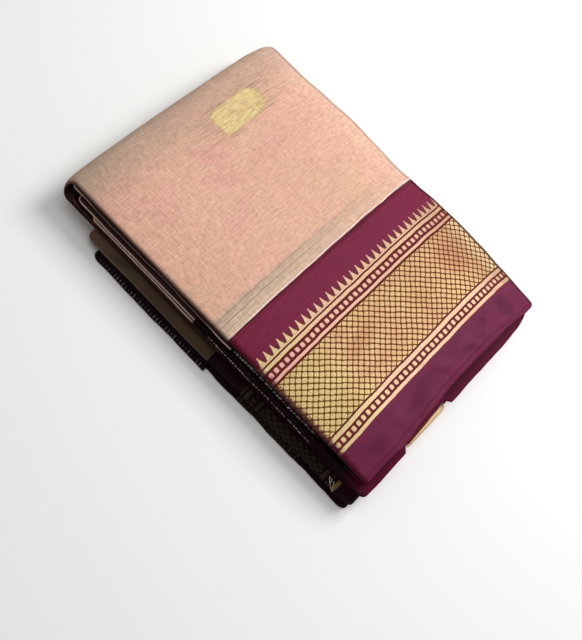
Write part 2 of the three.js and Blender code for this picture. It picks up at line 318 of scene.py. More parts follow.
@dataclass(frozen=True)
class Layer:
    """A stretch of cloth or a bundle of layers that lies flat in the packet."""

    node: str
    low: float
    high: float
    left: float
    right: float
    near: float
    far: float
    cloth: Cloth
    slot: str
    rests_on: str
    rim: Rim = Rim.THIN
    piles: int = 1
    wave: float = 0.4
    pitch: float = 110.0
    joined: End = End.NONE
    step: tuple[float, float, float, float] | None = None
    taper: tuple[float, float] | None = None
    corner: float = 5.0
    seed: int = 1
    spacing: float = 4.0
    margins: tuple[float, ...] = (0.0, 0.8, 1.8, 3.0)
    inset: float = 5.0
    side_reach: float = 30.0
    end_reach: float = 24.0
    drape: tuple[tuple[float, float], ...] = (
        (0, 4.2), (0.1, 5.2), (0.3, 5.0), (0.6, 3.8), (0.86, 2.1), (1, 0),
    )
    droop_slack: float = 0.35
    facing: tuple[float, float] = (0.2, 0.75)

    def draped(self, height: Array) -> Array:
        """How far the splayed edge bulges, with its slack folds.

        Args:
            height: shares of the thickness.

        Returns:
            The bulge in millimetres.
        """
        shares, bulges = np.array(self.drape).T
        slack = self.droop_slack * np.abs(np.sin(height * math.pi * self.piles))
        return np.interp(height, shares, bulges) + slack

    def piled(self, height: Array, along: Array) -> Array:
        """How far a pile of folded edges bulges.

        Args:
            height: shares of the thickness.
            along: place along the edge, in millimetres.

        Returns:
            The bulge of each folded edge, uneven from one to the next.
        """
        lobe = np.minimum((height * self.piles).astype(int), self.piles - 1)
        inside = height * self.piles - lobe
        reach = 0.5 + 0.5 * np.sin(lobe * 2.4 + self.seed) + 0.45 * ripple(along, 150, self.seed) * np.cos(
            lobe * 1.7 + self.seed
        )
        return (0.35 + 1.25 * np.sqrt(np.clip(4 * inside * (1 - inside), 0, 1))) * (0.7 + 0.4 * reach)

    def bulge(self, height: Array, side: Array, along: Array) -> Array:
        """The edge's bulge by height and by the side that it faces.

        Args:
            height: shares of the thickness.
            side: 1 where the edge faces the splayed side, 0 elsewhere.
            along: place along the edge, in millimetres.

        Returns:
            The bulge in millimetres.
        """
        fold = np.sqrt(np.clip(4 * height * (1 - height), 0, 1))
        if self.rim is Rim.THIN:
            return 0.6 * fold
        if self.rim is Rim.ROUND:
            return 1.3 * fold
        piled = self.piled(height, along)
        if self.rim is Rim.PILED:
            return piled
        return side * self.draped(height) + (1 - side) * (piled + 2.2 * (1 - height) ** 1.5)

    def on_side(self, along: Array, height: Array, out: float) -> Array:
        """Places points on the draped edge.

        Args:
            along: places along the edge, in millimetres.
            height: shares of the thickness.
            out: how far outside the cloth they lie, in millimetres.

        Returns:
            The points in metres.
        """
        bulge = self.wave * ripple(along, self.pitch, self.seed) + self.draped(height)
        level = self.low + (self.high - self.low) * height
        return PACKET.place(self.left - bulge - out, along, level)

    def set_back(self, x: Array) -> Array:
        """How far the selvedge end is moved back.

        Args:
            x: places across the packet.

        Returns:
            The distances in millimetres.
        """
        back = np.zeros_like(x)
        if self.step:
            start, end, run, depth = self.step
            back += depth * (ease(start - run, start, x) - ease(end, end + run, x))
        if self.taper:
            back += self.taper[1] * ease(self.taper[0], PACKET.right, x) ** 2
        return back

    def plan(self) -> tuple[Array, Array, Array, Array]:
        """Lays out the layer's plan.

        Returns:
            The placed X and Y of each point, and its X and Y on the flat cloth.
        """
        count_x = max(int((self.right - self.left) / self.spacing), 6)
        count_y = max(int((self.far - self.near) / self.spacing), 6)
        margin = np.array(self.margins)
        xs = np.linspace(self.left + self.inset, self.right - self.inset, count_x)
        ys = np.linspace(self.near + self.inset, self.far - self.inset, count_y)
        xs = np.concatenate([self.left + margin, xs, (self.right - margin)[::-1]])
        ys = np.concatenate([self.near + margin, ys, (self.far - margin)[::-1]])
        cloth_x, cloth_y = np.meshgrid(xs, ys, indexing="ij")
        x, y = cloth_x.copy(), cloth_y.copy()
        for end, edge in ((End.NEAR, self.near), (End.FAR, self.far)):
            if self.joined is end:
                continue
            for side in (self.left, self.right):
                a = np.clip(1 - np.abs(cloth_x - side) / self.corner, 0, 1)
                b = np.clip(1 - np.abs(cloth_y - edge) / self.corner, 0, 1)
                both = (a > 0) & (b > 0)
                scale = np.where(both, np.maximum(a, b) / np.maximum(np.hypot(a, b), 1e-9), 1)
                x += np.where(both, np.sign(side) * self.corner * a * (scale - 1), 0)
                y += np.where(both, end.value * self.corner * b * (scale - 1), 0)
        near_side = np.clip(1 - (cloth_x - self.left) / self.side_reach, 0, 1)
        x -= self.wave * near_side * ripple(cloth_y, self.pitch, self.seed)
        far_side = np.clip(1 - (self.right - cloth_x) / self.side_reach, 0, 1)
        x += 1.6 * self.wave * far_side * ripple(cloth_y, self.pitch * 0.8, self.seed + 3)
        if self.joined is not End.NEAR:
            near_end = np.clip(1 - (cloth_y - self.near) / self.end_reach, 0, 1)
            y += near_end * (self.set_back(x) + 0.8 * self.wave * ripple(cloth_x, 90, self.seed + 5))
        return x, y, cloth_x, cloth_y

    def build(self) -> bpy.types.Object:
        """Builds the layer as one closed shell.

        Returns:
            The layer's object.
        """
        x, y, cloth_x, cloth_y = self.plan()
        faces, ring = two_skins(*x.shape)
        faces = [faces]
        levels = (self.high, self.low)
        points = [PACKET.place(x, y, np.full_like(x, level)).reshape(-1, 3) for level in levels]
        uv = [np.stack([cloth_x, cloth_y], -1).reshape(-1, 2)] * 2
        rx, ry = x.reshape(-1)[ring], y.reshape(-1)[ring]
        ux, uy = cloth_x.reshape(-1)[ring], cloth_y.reshape(-1)[ring]
        nx = np.roll(ry, -1) - np.roll(ry, 1)
        ny = -(np.roll(rx, -1) - np.roll(rx, 1))
        if self.joined is not End.NONE:
            end = self.near if self.joined is End.NEAR else self.far
            cut = np.abs(uy - end) < 1e-6
            corner = cut & ((np.abs(ux - self.left) < 1e-6) | (np.abs(ux - self.right) < 1e-6))
            nx = np.where(cut, np.where(corner, np.sign(ux), 0), nx)
            ny = np.where(cut, 0, ny)
        length = np.maximum(np.hypot(nx, ny), 1e-9)
        nx, ny = np.where(nx == 0, 0, nx / length), np.where(ny == 0, 0, ny / length)
        side = ease(*self.facing, -nx)
        along = np.cumsum(np.hypot(np.diff(rx, prepend=rx[0]), np.diff(ry, prepend=ry[0])))

        steps = RIM_STEPS.get(self.rim, PILE_STEPS * self.piles + 1)
        heights = np.linspace(1, 0, steps)
        loops = [ring]
        base = 2 * x.size
        depth = self.high - self.low
        travelled = np.zeros_like(rx)
        before = self.bulge(np.full_like(rx, heights[0]), side, along)
        start = 0 if self.rim in (Rim.PILED, Rim.DRAPED) else 1
        for step in range(start, steps - start):
            height = np.full_like(rx, heights[step])
            out = self.bulge(height, side, along)
            travelled = travelled + np.hypot(out - before, depth / (steps - 1) if step else 0)
            before = out
            points.append(PACKET.place(rx + nx * out, ry + ny * out, self.low + depth * height))
            uv.append(np.stack([ux + nx * travelled, uy + ny * travelled], -1))
            loops.append(np.arange(len(ring)) + base)
            base += len(ring)
        loops.append(ring + x.size)
        faces += [wall_between(first, second) for first, second in zip(loops, loops[1:])]
        uv = np.concatenate(uv)
        inside = np.minimum(uv[:, 0] - self.left, self.right - uv[:, 0])
        if self.joined is not End.NEAR:
            inside = np.minimum(inside, uv[:, 1] - self.near)
        if self.joined is not End.FAR:
            inside = np.minimum(inside, self.far - uv[:, 1])
        return make_piece("cloth_" + self.node, np.concatenate(points), np.concatenate(faces), uv, inside)

    def flat(self) -> tuple[float, float]:
        """The stretch's flat size in metres, with its edges rolled out."""
        extra = 0 if self.rim is Rim.THIN else self.high - self.low
        return (self.right - self.left + extra) * MM, (self.far - self.near + extra) * MM


SEAM = 0.35

LAYERS = (
    Layer(
        "lower_band_far", 0, 8.8, -153, 112, -15, 127.5, Cloth.BAR_BAND, "dark_border_cloth",
        "floor", Rim.DRAPED, piles=4, wave=0.5, pitch=90, joined=End.NEAR, seed=2,
    ),
    Layer(
        "lower_band_near", 0, 8.8, -149.2, 112, -186.5, -15 - SEAM, Cloth.LOW_BORDER, "border_cloth",
        "floor", Rim.DRAPED, piles=4, wave=0.7, pitch=70, joined=End.FAR, seed=3,
    ),
    Layer(
        "draped_bundle_body", 9.15, 22.4, -147, 116, -12, 142, Cloth.SHADED_BODY, "body_cloth_shaded",
        "cloth_lower_band_far", Rim.DRAPED, piles=6, wave=0.4, joined=End.NEAR, seed=4,
    ),
    Layer(
        "draped_bundle_border", 9.15, 22.4, -146.2, 116, -188, -12 - SEAM, Cloth.BUNDLE_BORDER,
        "border_cloth", "cloth_lower_band_near", Rim.DRAPED, piles=6, wave=0.6, pitch=80,
        joined=End.FAR, seed=5,
    ),
    Layer(
        "striped_selvedge", 22.95, 24.4, -141, 122, -183.5, -12 - SEAM, Cloth.STRIPED_TAB,
        "border_cloth", "cloth_draped_bundle_border", wave=0.4, pitch=95, joined=End.FAR,
        step=(-76, -22, 3, -8.9), seed=6,
    ),
    Layer(
        "turned_under_layers", 24.85, 29.6, -142.6, 124, -182, 176, Cloth.PACKED,
        "body_cloth_shaded", "cloth_striped_selvedge", Rim.PILED, piles=3, pitch=120, seed=7,
    ),
    Layer(
        "inner_panel_two_body", 30, 31.7, -143, 126, 20, 150, Cloth.PALE_EDGE, "body_cloth",
        "cloth_turned_under_layers", wave=0.3, pitch=140, joined=End.NEAR, seed=8,
    ),
    Layer(
        "inner_panel_one_body", 32.1, 33.8, -141.4, 127, 20, 171, Cloth.PALE_EDGE, "body_cloth",
        "cloth_inner_panel_two_body", wave=0.3, pitch=140, joined=End.NEAR, seed=9,
    ),
    Layer(
        "inner_fold_border", 30, 33.8, -142.2, 124, -192, 20 - SEAM, Cloth.INNER_BORDER,
        "border_cloth", "cloth_turned_under_layers", Rim.ROUND, wave=0.5, pitch=85,
        joined=End.FAR, step=(-80, -20, 5, 6.4), taper=(84, 5), seed=10,
    ),
    Layer(
        "middle_layers", 34.4, 37.1, -133, 127, -181, 179, Cloth.PACKED, "body_cloth_shaded",
        "cloth_inner_panel_one_body", Rim.PILED, piles=2, wave=0.1, seed=11,
    ),
    Layer(
        "second_panel_body", 37.5, 38.7, -137.6, 128, -21, 182.5, Cloth.HIDDEN_EDGE, "body_cloth",
        "cloth_middle_layers", wave=0.8, pitch=120, joined=End.NEAR, seed=12,
    ),
    Layer(
        "second_panel_border", 37.5, 38.7, -136.8, 128, -182, -21 - SEAM, Cloth.INNER_BORDER,
        "border_cloth", "cloth_middle_layers", wave=0.6, pitch=75, joined=End.FAR, seed=13,
    ),
    Layer(
        "upper_layers", 39.05, 43.0, -129.6, 129.6, -181, 177, Cloth.PACKED,
        "body_cloth_shaded", "cloth_second_panel_body", Rim.PILED, piles=3, wave=0.1, seed=14,
    ),
)


# The top panel


@dataclass(frozen=True)
class TopPanel:
    """A stretch of the top panel, rolled over at its long edges."""

    node: str
    near: float
    turned: bool
    cloth: Cloth
    slot: str
    rests_on: str = "cloth_upper_layers"
    wall: float = 1.5
    roll: float = 4.0
    under_left: float = -145.5
    under_right: float = 126.0
    under_end: float = -12.0
    corner_reach: float = 15.0
    corner_left: float = 0.8
    corner_right: float = 0.45
    spacing: float = 2.6
    # inner_edge: edge value given to the inner skin, deep enough that it takes the full painted shade of the
    # packet's inside.
    inner_edge: float = -20.0
    roll_start: float = 0.04
    roll_steps: int = 9
    fold_steps: int = 22
    under_steps: int = 60
    near_corner: float = 9.0
    creases: tuple[Crease, ...] = ()
    wrinkle_start: float = -146.0
    wrinkles: tuple[tuple[float, float, float], ...] = (
        (-98, 17, 0.7), (-41, 21, 1.5), (16, 15, 0.9), (58, 19, 1.7), (103, 14, 1.1),
    )
    wander: tuple[tuple[float, float], ...] = (
        (-136, 0), (-112, -0.7), (-81, 0.8), (-60, -1.8), (-10, -3.8), (20, -3.9),
        (52, -2.8), (76, -1.9), (100, 0.4), (117, 2.8), (136, 3.9),
    )

    @property
    def width(self) -> float:
        """Width from one rolled edge to the other."""
        return PACKET.right - PACKET.left

    def across(self) -> tuple[Array, Array]:
        """Stations across the panel.

        Returns:
            Distances from the left edge, and the cloth's own place across at each.
        """
        turn = np.linspace(self.roll_start, math.pi / 2, self.roll_steps)
        rolled = self.roll * (1 - np.sin(turn))[::-1]
        flat = np.linspace(self.roll, self.width - self.roll, int(self.width / self.spacing))
        distance = np.concatenate([rolled[:-1], flat, (self.width - rolled[:-1])[::-1]])
        arc = self.roll * (turn[-1] - turn[:-1])
        u = np.concatenate([self.roll - arc, flat, self.width - self.roll + arc[::-1]])
        return distance, u + PACKET.left

    def depth(self, side: Array, wall: float) -> Array:
        """Depth of the roll's skin below the panel's top.

        Args:
            side: distances from the nearer rolled edge.
            wall: 0 for the outer skin, the cloth's thickness for the inner one.

        Returns:
            Depths in millimetres.
        """
        radius = self.roll - wall
        run = np.clip(self.roll - side, 0, radius)
        curved = self.roll - np.sqrt(radius**2 - run**2)
        limit = self.roll - (0 if wall else 0.4)
        inside = np.where(side <= wall, limit, np.minimum(curved, limit))
        return np.where(side >= self.roll, wall, inside)

    def path(self) -> tuple[Array, Array, Array]:
        """Stations along the panel's path.

        Returns:
            Places along Y, angles round the far fold and lengths along the cloth.
        """
        far = PACKET.turn_y if self.turned else PACKET.join_y - SEAM
        flat = np.linspace(self.near, far, int((far - self.near) / self.spacing))
        if not self.turned:
            return flat, np.zeros_like(flat), flat
        angle = np.linspace(0, math.pi, self.fold_steps)[1:]
        back = np.linspace(far, self.under_end, self.under_steps)[1:]
        y = np.concatenate([flat, np.full_like(angle, far), back])
        turn = np.concatenate([np.zeros_like(flat), angle, np.full_like(back, math.pi)])
        arc = far + PACKET.turn_radius * angle
        v = np.concatenate([flat, arc, arc[-1] + far - back])
        return y, turn, v

    def lift(self, x: Array, y: Array) -> Array:
        """Height of the soft wrinkles by the selvedge.

        Args:
            x: places across the packet.
            y: places along it.

        Returns:
            The heights in millimetres.
        """
        total = np.zeros_like(x)
        for place, half, rise in self.wrinkles:
            slant = place + 0.16 * (y - PACKET.selvedge_y)
            t = np.clip(np.abs(x - slant) / half, 0, 1)
            total += rise * (0.5 + 0.5 * np.cos(math.pi * t))
        return total * ease(self.wrinkle_start, PACKET.selvedge_y, y)

    def skin(self, wall: float) -> tuple[Array, Array]:
        """One face of the panel.

        Args:
            wall: 0 for the outer face, the cloth's thickness for the inner one.

        Returns:
            The face's points in metres and its cloth map.
        """
        distance, u = self.across()
        y, angle, v = self.path()
        distance, y = np.meshgrid(distance, y, indexing="ij")
        _, angle = np.meshgrid(u, angle, indexing="ij")
        cloth = np.stack(np.meshgrid(u, v, indexing="ij"), -1)
        side = np.minimum(distance, self.width - distance)
        fade = (1 + np.cos(angle)) / 2
        depth = wall + (self.depth(side, wall) - wall) * fade
        lifted = sum((c.lift(cloth[..., 0], cloth[..., 1]) for c in self.creases), np.zeros_like(depth))
        radius = PACKET.turn_radius - depth + lifted
        left = PACKET.left + (self.under_left - PACKET.left) * (1 - fade)
        right = PACKET.right + (self.under_right - PACKET.right) * (1 - fade)
        x = left + (right - left) * distance / self.width
        corner = np.where(distance < self.width / 2, self.corner_left, self.corner_right)
        square = np.sqrt(1 - np.clip(1 - side / self.corner_reach, 0, 1) ** 2)
        along = y + radius * np.sin(angle) * (corner + (1 - corner) * square)
        points = PACKET.place(x, along, PACKET.turn_z + radius * np.cos(angle))
        if not self.turned:
            in_corner = np.clip(x - PACKET.right + self.near_corner, 0, self.near_corner)
            rounded = self.near_corner - np.sqrt(self.near_corner**2 - in_corner**2)
            hang = read(self.wander, x) - rounded
            points[..., 1] -= ease(self.wrinkle_start, PACKET.selvedge_y, y) * hang * MM
            points[..., 2] += self.lift(x, y) * MM
        return points, cloth

    def build(self) -> bpy.types.Object:
        """Builds the stretch as one closed shell.

        Returns:
            The panel's object.
        """
        outer, cloth = self.skin(0)
        inner, _ = self.skin(self.wall)
        size = outer[..., 0].size
        faces, ring = two_skins(*outer.shape[:2])
        faces = np.concatenate([faces, wall_between(ring, ring + size)])
        points = np.concatenate([outer.reshape(-1, 3), inner.reshape(-1, 3)])
        uv = np.concatenate([cloth.reshape(-1, 2)] * 2)
        edge = uv[:, 0] - PACKET.left
        # The inner skin takes the painted shade of the packet's inside.
        edge[size:] = self.inner_edge
        return make_piece("cloth_" + self.node, points, faces, uv, edge)

    def flat(self) -> tuple[float, float]:
        """The stretch's flat size.

        Returns:
            Its length across and along in metres.
        """
        _, u = self.across()
        _, _, v = self.path()
        return (u[-1] - u[0]) * MM, (v[-1] - v[0]) * MM


PANELS = (
    TopPanel(
        "top_panel_body", PACKET.join_y, True, Cloth.BODY, "body_cloth",
        creases=(
            Crease((-112, 150), (-72, 58), 17, 0.5),
            Crease((-34, 132), (6, 90), 10, 0.6),
            Crease((-100, 172), (86, 177), 7, 0.5),
            Crease((58, 36), (126, 60), 13, 0.6),
            Crease((84, 158), (128, 122), 11, 0.8),
            Crease((120, 100), (131, 14), 7, 0.6),
            Crease((-66, 192), (40, 197), 5, 0.5),
            Crease((60, 206), (112, 188), 6, 0.6),
        ),
    ),
    TopPanel(
        "top_panel_border", PACKET.selvedge_y, False, Cloth.BORDER, "border_cloth",
        creases=(
            Crease((-78, -164), (-63, -184), 8, 0.9),
            Crease((-14, -151), (9, -182), 10, 1.4),
            Crease((29, -160), (47, -184), 7, 0.8),
            Crease((60, -148), (82, -183), 11, 1.6),
            Crease((117, -146), (124, -176), 9, 1.3),
            Crease((-64, -177), (66, -178), 2.4, 0.7),
            Crease((70, -178), (129, -172), 2.2, 0.7),
            Crease((126, -112), (132, -30), 6, 0.6),
        ),
    ),
)


# Materials


class Board:
    """A node tree while it is being wired."""

    def __init__(self, tree: bpy.types.NodeTree, prefix: str = "ShaderNode") -> None:
        """Starts on a tree, whose nodes' type names begin with prefix."""
        self.tree = tree
        self.prefix = prefix

    def add(
        self, kind: str, *values: Any, out: int | str = 0, named: dict[str, Any] | None = None,
        **settings: Any,
    ) -> bpy.types.NodeSocket | None:
        """Adds a node with its settings and links.

        Args:
            kind: the node's type name without its prefix, and its operation after a dot.
            *values: a socket, a value or a hex colour for each input in order, or None.
            out: which output to return.
            named: the same for inputs given by name.
            **settings: the node's own settings.

        Returns:
            The chosen output socket, or None from a node without outputs.
        """
        kind, _, operation = kind.partition(".")
        node = self.tree.nodes.new(self.prefix + kind)
        if operation:
            node.operation = operation
        for key, value in settings.items():
            setattr(node, key, value)
        for key, value in [*enumerate(values), *(named or {}).items()]:
            if isinstance(value, bpy.types.NodeSocket):
                self.tree.links.new(value, node.inputs[key])
            elif value is not None:
                is_colour = isinstance(value, str) and value.startswith("#")
                node.inputs[key].default_value = linear(value) if is_colour else value
        return node.outputs[out] if len(node.outputs) else None


class MaterialBoard(Board):
    """A material's board."""

    def __init__(self, name: str) -> None:
        """Starts an empty material.

        Args:
            name: the material's name.
        """
        self.material = bpy.data.materials.new(name)
        self.material.use_nodes = True
        super().__init__(self.material.node_tree)
        self.tree.nodes.clear()


class ClothBoard(MaterialBoard):
    """A material's board, with sockets that say where on the cloth a point lies, in millimetres."""

    def __init__(self, name: str) -> None:
        """Starts an empty material and reads the cloth map.

        Args:
            name: the material's name.
        """
        super().__init__(name)
        self.uv = self.add("UVMap", uv_map="cloth_mm")
        self.u = self.add("SeparateXYZ", self.uv, out="X")
        self.v = self.add("SeparateXYZ", self.uv, out="Y")
        self.edge = self.add("Attribute", attribute_name="edge_mm", out="Fac")

    def stretched(
        self, per_u: float, per_v: float, detail: float = 3.0, move: float = 0.0, twist: float = 0.0
    ) -> Any:
        """Noise that is longer one way than the other.

        Args:
            per_u: blotches in a millimetre across.
            per_v: blotches in a millimetre along.
            detail: octaves of finer noise.
            move: picks another part of the same noise.
            twist: how much the blotches wander.

        Returns:
            The noise, mostly between 0.3 and 0.7.
        """
        scaled = self.add("VectorMath.MULTIPLY", self.uv, (per_u, per_v, 0.0))
        moved = self.add("VectorMath.ADD", scaled, (move, -move, move))
        return self.add("TexNoise", moved, out="Fac",
                        named={"Scale": 1.0, "Detail": detail, "Roughness": 0.6, "Distortion": twist})

    def spot(self, middle: tuple[float, float], half: tuple[float, float], turn: float = 0.0) -> Any:
        """A soft oval on the cloth.

        Args:
            middle: where it is centred.
            half: its half length and half width.
            turn: how far it is turned, in degrees.

        Returns:
            1 in its middle, 0 outside it.
        """
        moved = self.add("VectorMath.SUBTRACT", self.uv, (*middle, 0.0))
        turned = self.add("VectorRotate", moved, rotation_type="Z_AXIS", named={"Angle": math.radians(-turn)})
        scaled = self.add("VectorMath.MULTIPLY", turned, (1 / half[0], 1 / half[1], 0.0))
        away = self.add("VectorMath.LENGTH", scaled, out="Value")
        return self.add("MapRange", away, 1.0, 0.25, interpolation_type="SMOOTHSTEP")

    def off(self, value: Any, middle: float) -> Any:
        """Distance of a value from a middle, never negative."""
        return self.add("Math.ABSOLUTE", self.add("Math.SUBTRACT", value, middle))

    def between(self, value: Any, low: float, high: float) -> Any:
        """1 where a value lies between two others, 0 elsewhere."""
        above = self.add("Math.GREATER_THAN", value, low)
        return self.add("Math.MULTIPLY", above, self.add("Math.LESS_THAN", value, high))

    def repeat(self, value: Any, pitch: float) -> Any:
        """Distance from the middle of a repeat of a given pitch, both in millimetres."""
        share = self.add("Math.FRACT", self.add("Math.DIVIDE", value, pitch))
        return self.add("Math.MULTIPLY", self.off(share, 0.5), pitch)

    def bowed(self, d: Any) -> Any:
        """How far the border's lines stray towards the body.

        Args:
            d: plain distance from the join.

        Returns:
            The stray in millimetres.
        """
        left = self.add("MapRange", self.u, -30.0, -136.0)
        right = self.add("MapRange", self.u, 40.0, 134.0)
        left = self.add("Math.MULTIPLY", self.add("Math.POWER", left, 2.0), -2.1)
        pull = self.add("MapRange", d, 0.0, 150.0, -0.5, -3.7)
        right = self.add("Math.MULTIPLY", self.add("Math.POWER", right, 2.0), pull)
        middle = self.add("MapRange", d, 0.0, 20.0, 1.3, 0.5)
        slack = self.add("MapRange", self.stretched(0.03, 0.02, 2.0), 0.3, 0.7, -0.5, 0.5)
        sides = self.add("Math.ADD", left, right)
        return self.add("Math.ADD", self.add("Math.ADD", sides, middle), slack)


@dataclass(frozen=True)
class SilkCottonBody:
    """Plain-woven silk and cotton body cloth.

    Threads of uneven thickness give the eye a soft, dry, slightly streaky peach, with pink
    and greenish-gold cast where the folds below show through.
    """

    name: str
    thread: str = "#dcab94"
    pink: str = "#d49a90"
    gold: str = "#d0ae8a"
    fold_shade: str = "#a8917e"
    # Painted shade for the cloth's inner skin inside the packet.
    within: str = "#24100c"
    strip: str = "#bfa78f"
    strip_line: str = "#6b5b4c"
    join_line: str = "#ecd3ca"
    butta: str = "#dcc48a"
    butta_dark: str = "#a98650"
    # trim: where across the cloth the painted highlight along the shaded bundle's lower edge lies.
    trim: tuple[float, float] | None = None
    maroon: str = "#6c1a35"
    roll_shade: str = "#522c20"
    # under: painted shade on the top panel's stretch that turns under the far fold.
    under: str = "#5c4330"
    contrast: float = 1.0
    figured: bool = False
    # inside: painted shade on the faces between layers, away from the lit edge.
    inside: str | None = None
    # hidden: painted shade along the middle of a hidden edge, whose ends are left lit.
    hidden: str | None = None
    slub_light: str = "#ffe9da"
    sheen: str = "#f4dccb"
    # Painted light on the shaded bundle's far end.
    far_end_light: str = "#5c4030"
    # Painted shadow of a fold across the shaded bundle.
    fold_shadow: str = "#1c1009"
    # Painted highlight along the shaded bundle's lower edge.
    lower_edge_highlight: str = "#5f564c"
    # Painted shade along the right rolled edge.
    right_roll_shade: str = "#7d6860"
    # Painted highlight on the cloth before the right rolled edge.
    right_highlight: str = "#f6dccb"
    strip_pale: str = "#ddc2a8"
    strip_grey: str = "#a08a74"
    figure_peach: str = "#dcae88"
    butta_glint: str = "#efe0a8"
    loose_thread: str = "#86715c"
    casts: tuple[Oval, ...] = (
        ((-24, 125), (30, 15), -48, 0.62), ((-30, 99), (32, 15), -38, 0.48), ((28, 98), (34, 13), 12, 0.4),
        ((-50, 62), (40, 16), 20, 0.3), ((76, 96), (30, 20), 0, 0.25), ((-92, 112), (26, 30), 0, 0.2),
    )
    strip_lines: tuple[tuple[float, float, float], ...] = (
        (4.0, 0.7, 0.45), (-2.2, 0.8, 0.5), (-7.5, 0.5, 0.15),
    )
    butta_middle: tuple[float, float] = (36.0, 144.5)
    butta_half: tuple[float, float] = (30.5, 14.6)
    butta_slope: float = 0.045
    join_line_v: float = -13.4

    def build(self) -> bpy.types.Material:
        """Builds the material.

        Returns:
            The finished material.
        """
        b = ClothBoard(self.name)
        pinkness = b.add("MapRange", b.stretched(0.012, 0.02), 0.46, 0.72, 0.0, 0.35)
        goldness = b.add("MapRange", b.stretched(0.022, 0.016, move=37.0), 0.46, 0.72, 0.0, 0.45)
        colour = b.add("MixRGB", pinkness, self.thread, self.pink)
        colour = b.add("MixRGB", goldness, colour, self.gold)
        if self.figured:
            for middle, half, turn, strength in self.casts:
                share = b.add("Math.MULTIPLY", b.spot(middle, half, turn), strength)
                colour = b.add("MixRGB", share, colour, self.pink)
            colour = self.figure(b, colour)

        # Real threads lie 0.3 mm apart, too fine to show, so they are drawn as streaks
        # about 1 mm wide along each direction, uneven in length.
        weft = b.stretched(0.1, 0.75, 3.0, twist=0.5)
        warp = b.stretched(0.7, 0.09, 3.0, 11.0, twist=0.5)
        slub = b.add("MapRange", b.stretched(0.02, 0.5, 2.0, 5.0), 0.55, 0.72, 0.0, 0.35)
        right = b.add("MapRange", b.u, 60.0, 125.0)
        left = b.add("MapRange", b.u, -30.0, -110.0)
        weft_gain = b.add("MapRange", right, 0.0, 1.0, 0.75, 1.1)
        warp_gain = b.add("MapRange", left, 0.0, 1.0, 0.55, 0.95)
        weft_part = b.add("Math.MULTIPLY", b.add("Math.SUBTRACT", weft, 0.5), weft_gain)
        warp_part = b.add("Math.MULTIPLY", b.add("Math.SUBTRACT", warp, 0.5), warp_gain)
        threads = b.add("Math.ADD", weft_part, warp_part)
        blotch = b.add("Math.SUBTRACT", b.stretched(0.3, 0.45, 3.0, 23.0, twist=1.5), 0.5)
        blotch = b.add("Math.MULTIPLY", blotch, 0.6)
        value = b.add("Math.MULTIPLY", b.add("Math.ADD", threads, blotch), self.contrast)
        value = b.add("Math.ADD", value, 1.0)
        colour = b.add("MixRGB", 1.0, colour, value, blend_type="MULTIPLY")
        if self.figured:
            colour = b.add("MixRGB", b.add("Math.MULTIPLY", slub, 0.25), colour, self.slub_light)
        colour = self.shade(b, colour)

        bump = b.add("Bump", named={"Strength": 0.3, "Distance": 0.0004, "Height": threads})
        shader = b.add("BsdfPrincipled", colour, named={
            "Roughness": 0.72, "IOR": 1.5, "Sheen Weight": 0.06, "Sheen Roughness": 0.5,
            "Sheen Tint": self.sheen, "Specular IOR Level": 0.22, "Normal": bump,
        })
        b.add("OutputMaterial", shader)
        return b.material

    def shade(self, b: ClothBoard, colour: Any) -> Any:
        """Paints the light and shade that fall on the cloth: shade on the rolled edges, on the stretch under
        the far fold and on what lies inside the packet, and the light and shade of the draped bundle.

        Args:
            b: the board to wire on.
            colour: the colour before.

        Returns:
            The colour after.
        """
        if self.trim:
            # The shaded bundle is painted lighter towards its far end, as painted light.
            far = b.add("MapRange", b.v, 60.0, 140.0, 0.0, 0.6)
            colour = b.add("MixRGB", far, colour, self.far_end_light)
            # Painted shadow of a fold across the bundle.
            fold = b.spot((-150, 104), (6, 22), 20)
            colour = b.add("MixRGB", b.add("Math.MULTIPLY", fold, 0.5), colour, self.fold_shadow)
            # Painted highlight along the bundle's lower edge, stronger towards its far end.
            share = b.add("MapRange", b.u, self.trim[0], self.trim[1])
            share = b.add("Math.MULTIPLY", share, b.add("MapRange", b.v, 40.0, 110.0, 0.25, 0.7))
            return b.add("MixRGB", share, colour, self.lower_edge_highlight)
        if self.hidden:
            # Painted shade along the middle of the edge; near the join and the far fold it is left lit.
            near = b.add("MapRange", b.v, 14.0, -6.0)
            far = b.add("MapRange", b.v, 150.0, 176.0)
            lit = b.add("Math.ADD", near, far, use_clamp=True)
            colour = b.add("MixRGB", lit, self.hidden, colour)
        if self.inside:
            # Painted shade on the faces between layers; the edge itself keeps the cloth's tone.
            share = b.add("MapRange", b.edge, -0.1, 0.7)
            return b.add("MixRGB", share, colour, self.inside)
        if not self.figured:
            return colour
        soft = "SMOOTHSTEP"
        for cover, tone in (
            (b.add("MapRange", b.edge, 2.6, -0.8, 0.0, 0.95, interpolation_type=soft), self.roll_shade),
            # Painted shade along the right rolled edge.
            (b.add("MapRange", b.u, 128.6, 130.2, 0.0, 0.5), self.right_roll_shade),
            # Painted shade where the top panel turns under the far fold.
            (b.add("MapRange", b.v, 206.0, 226.0, 0.0, 0.9, interpolation_type=soft), self.under),
            # Painted shade on the inner skin inside the packet.
            (b.add("MapRange", b.edge, -7.0, -12.0), self.within),
        ):
            colour = b.add("MixRGB", cover, colour, tone)
        return colour

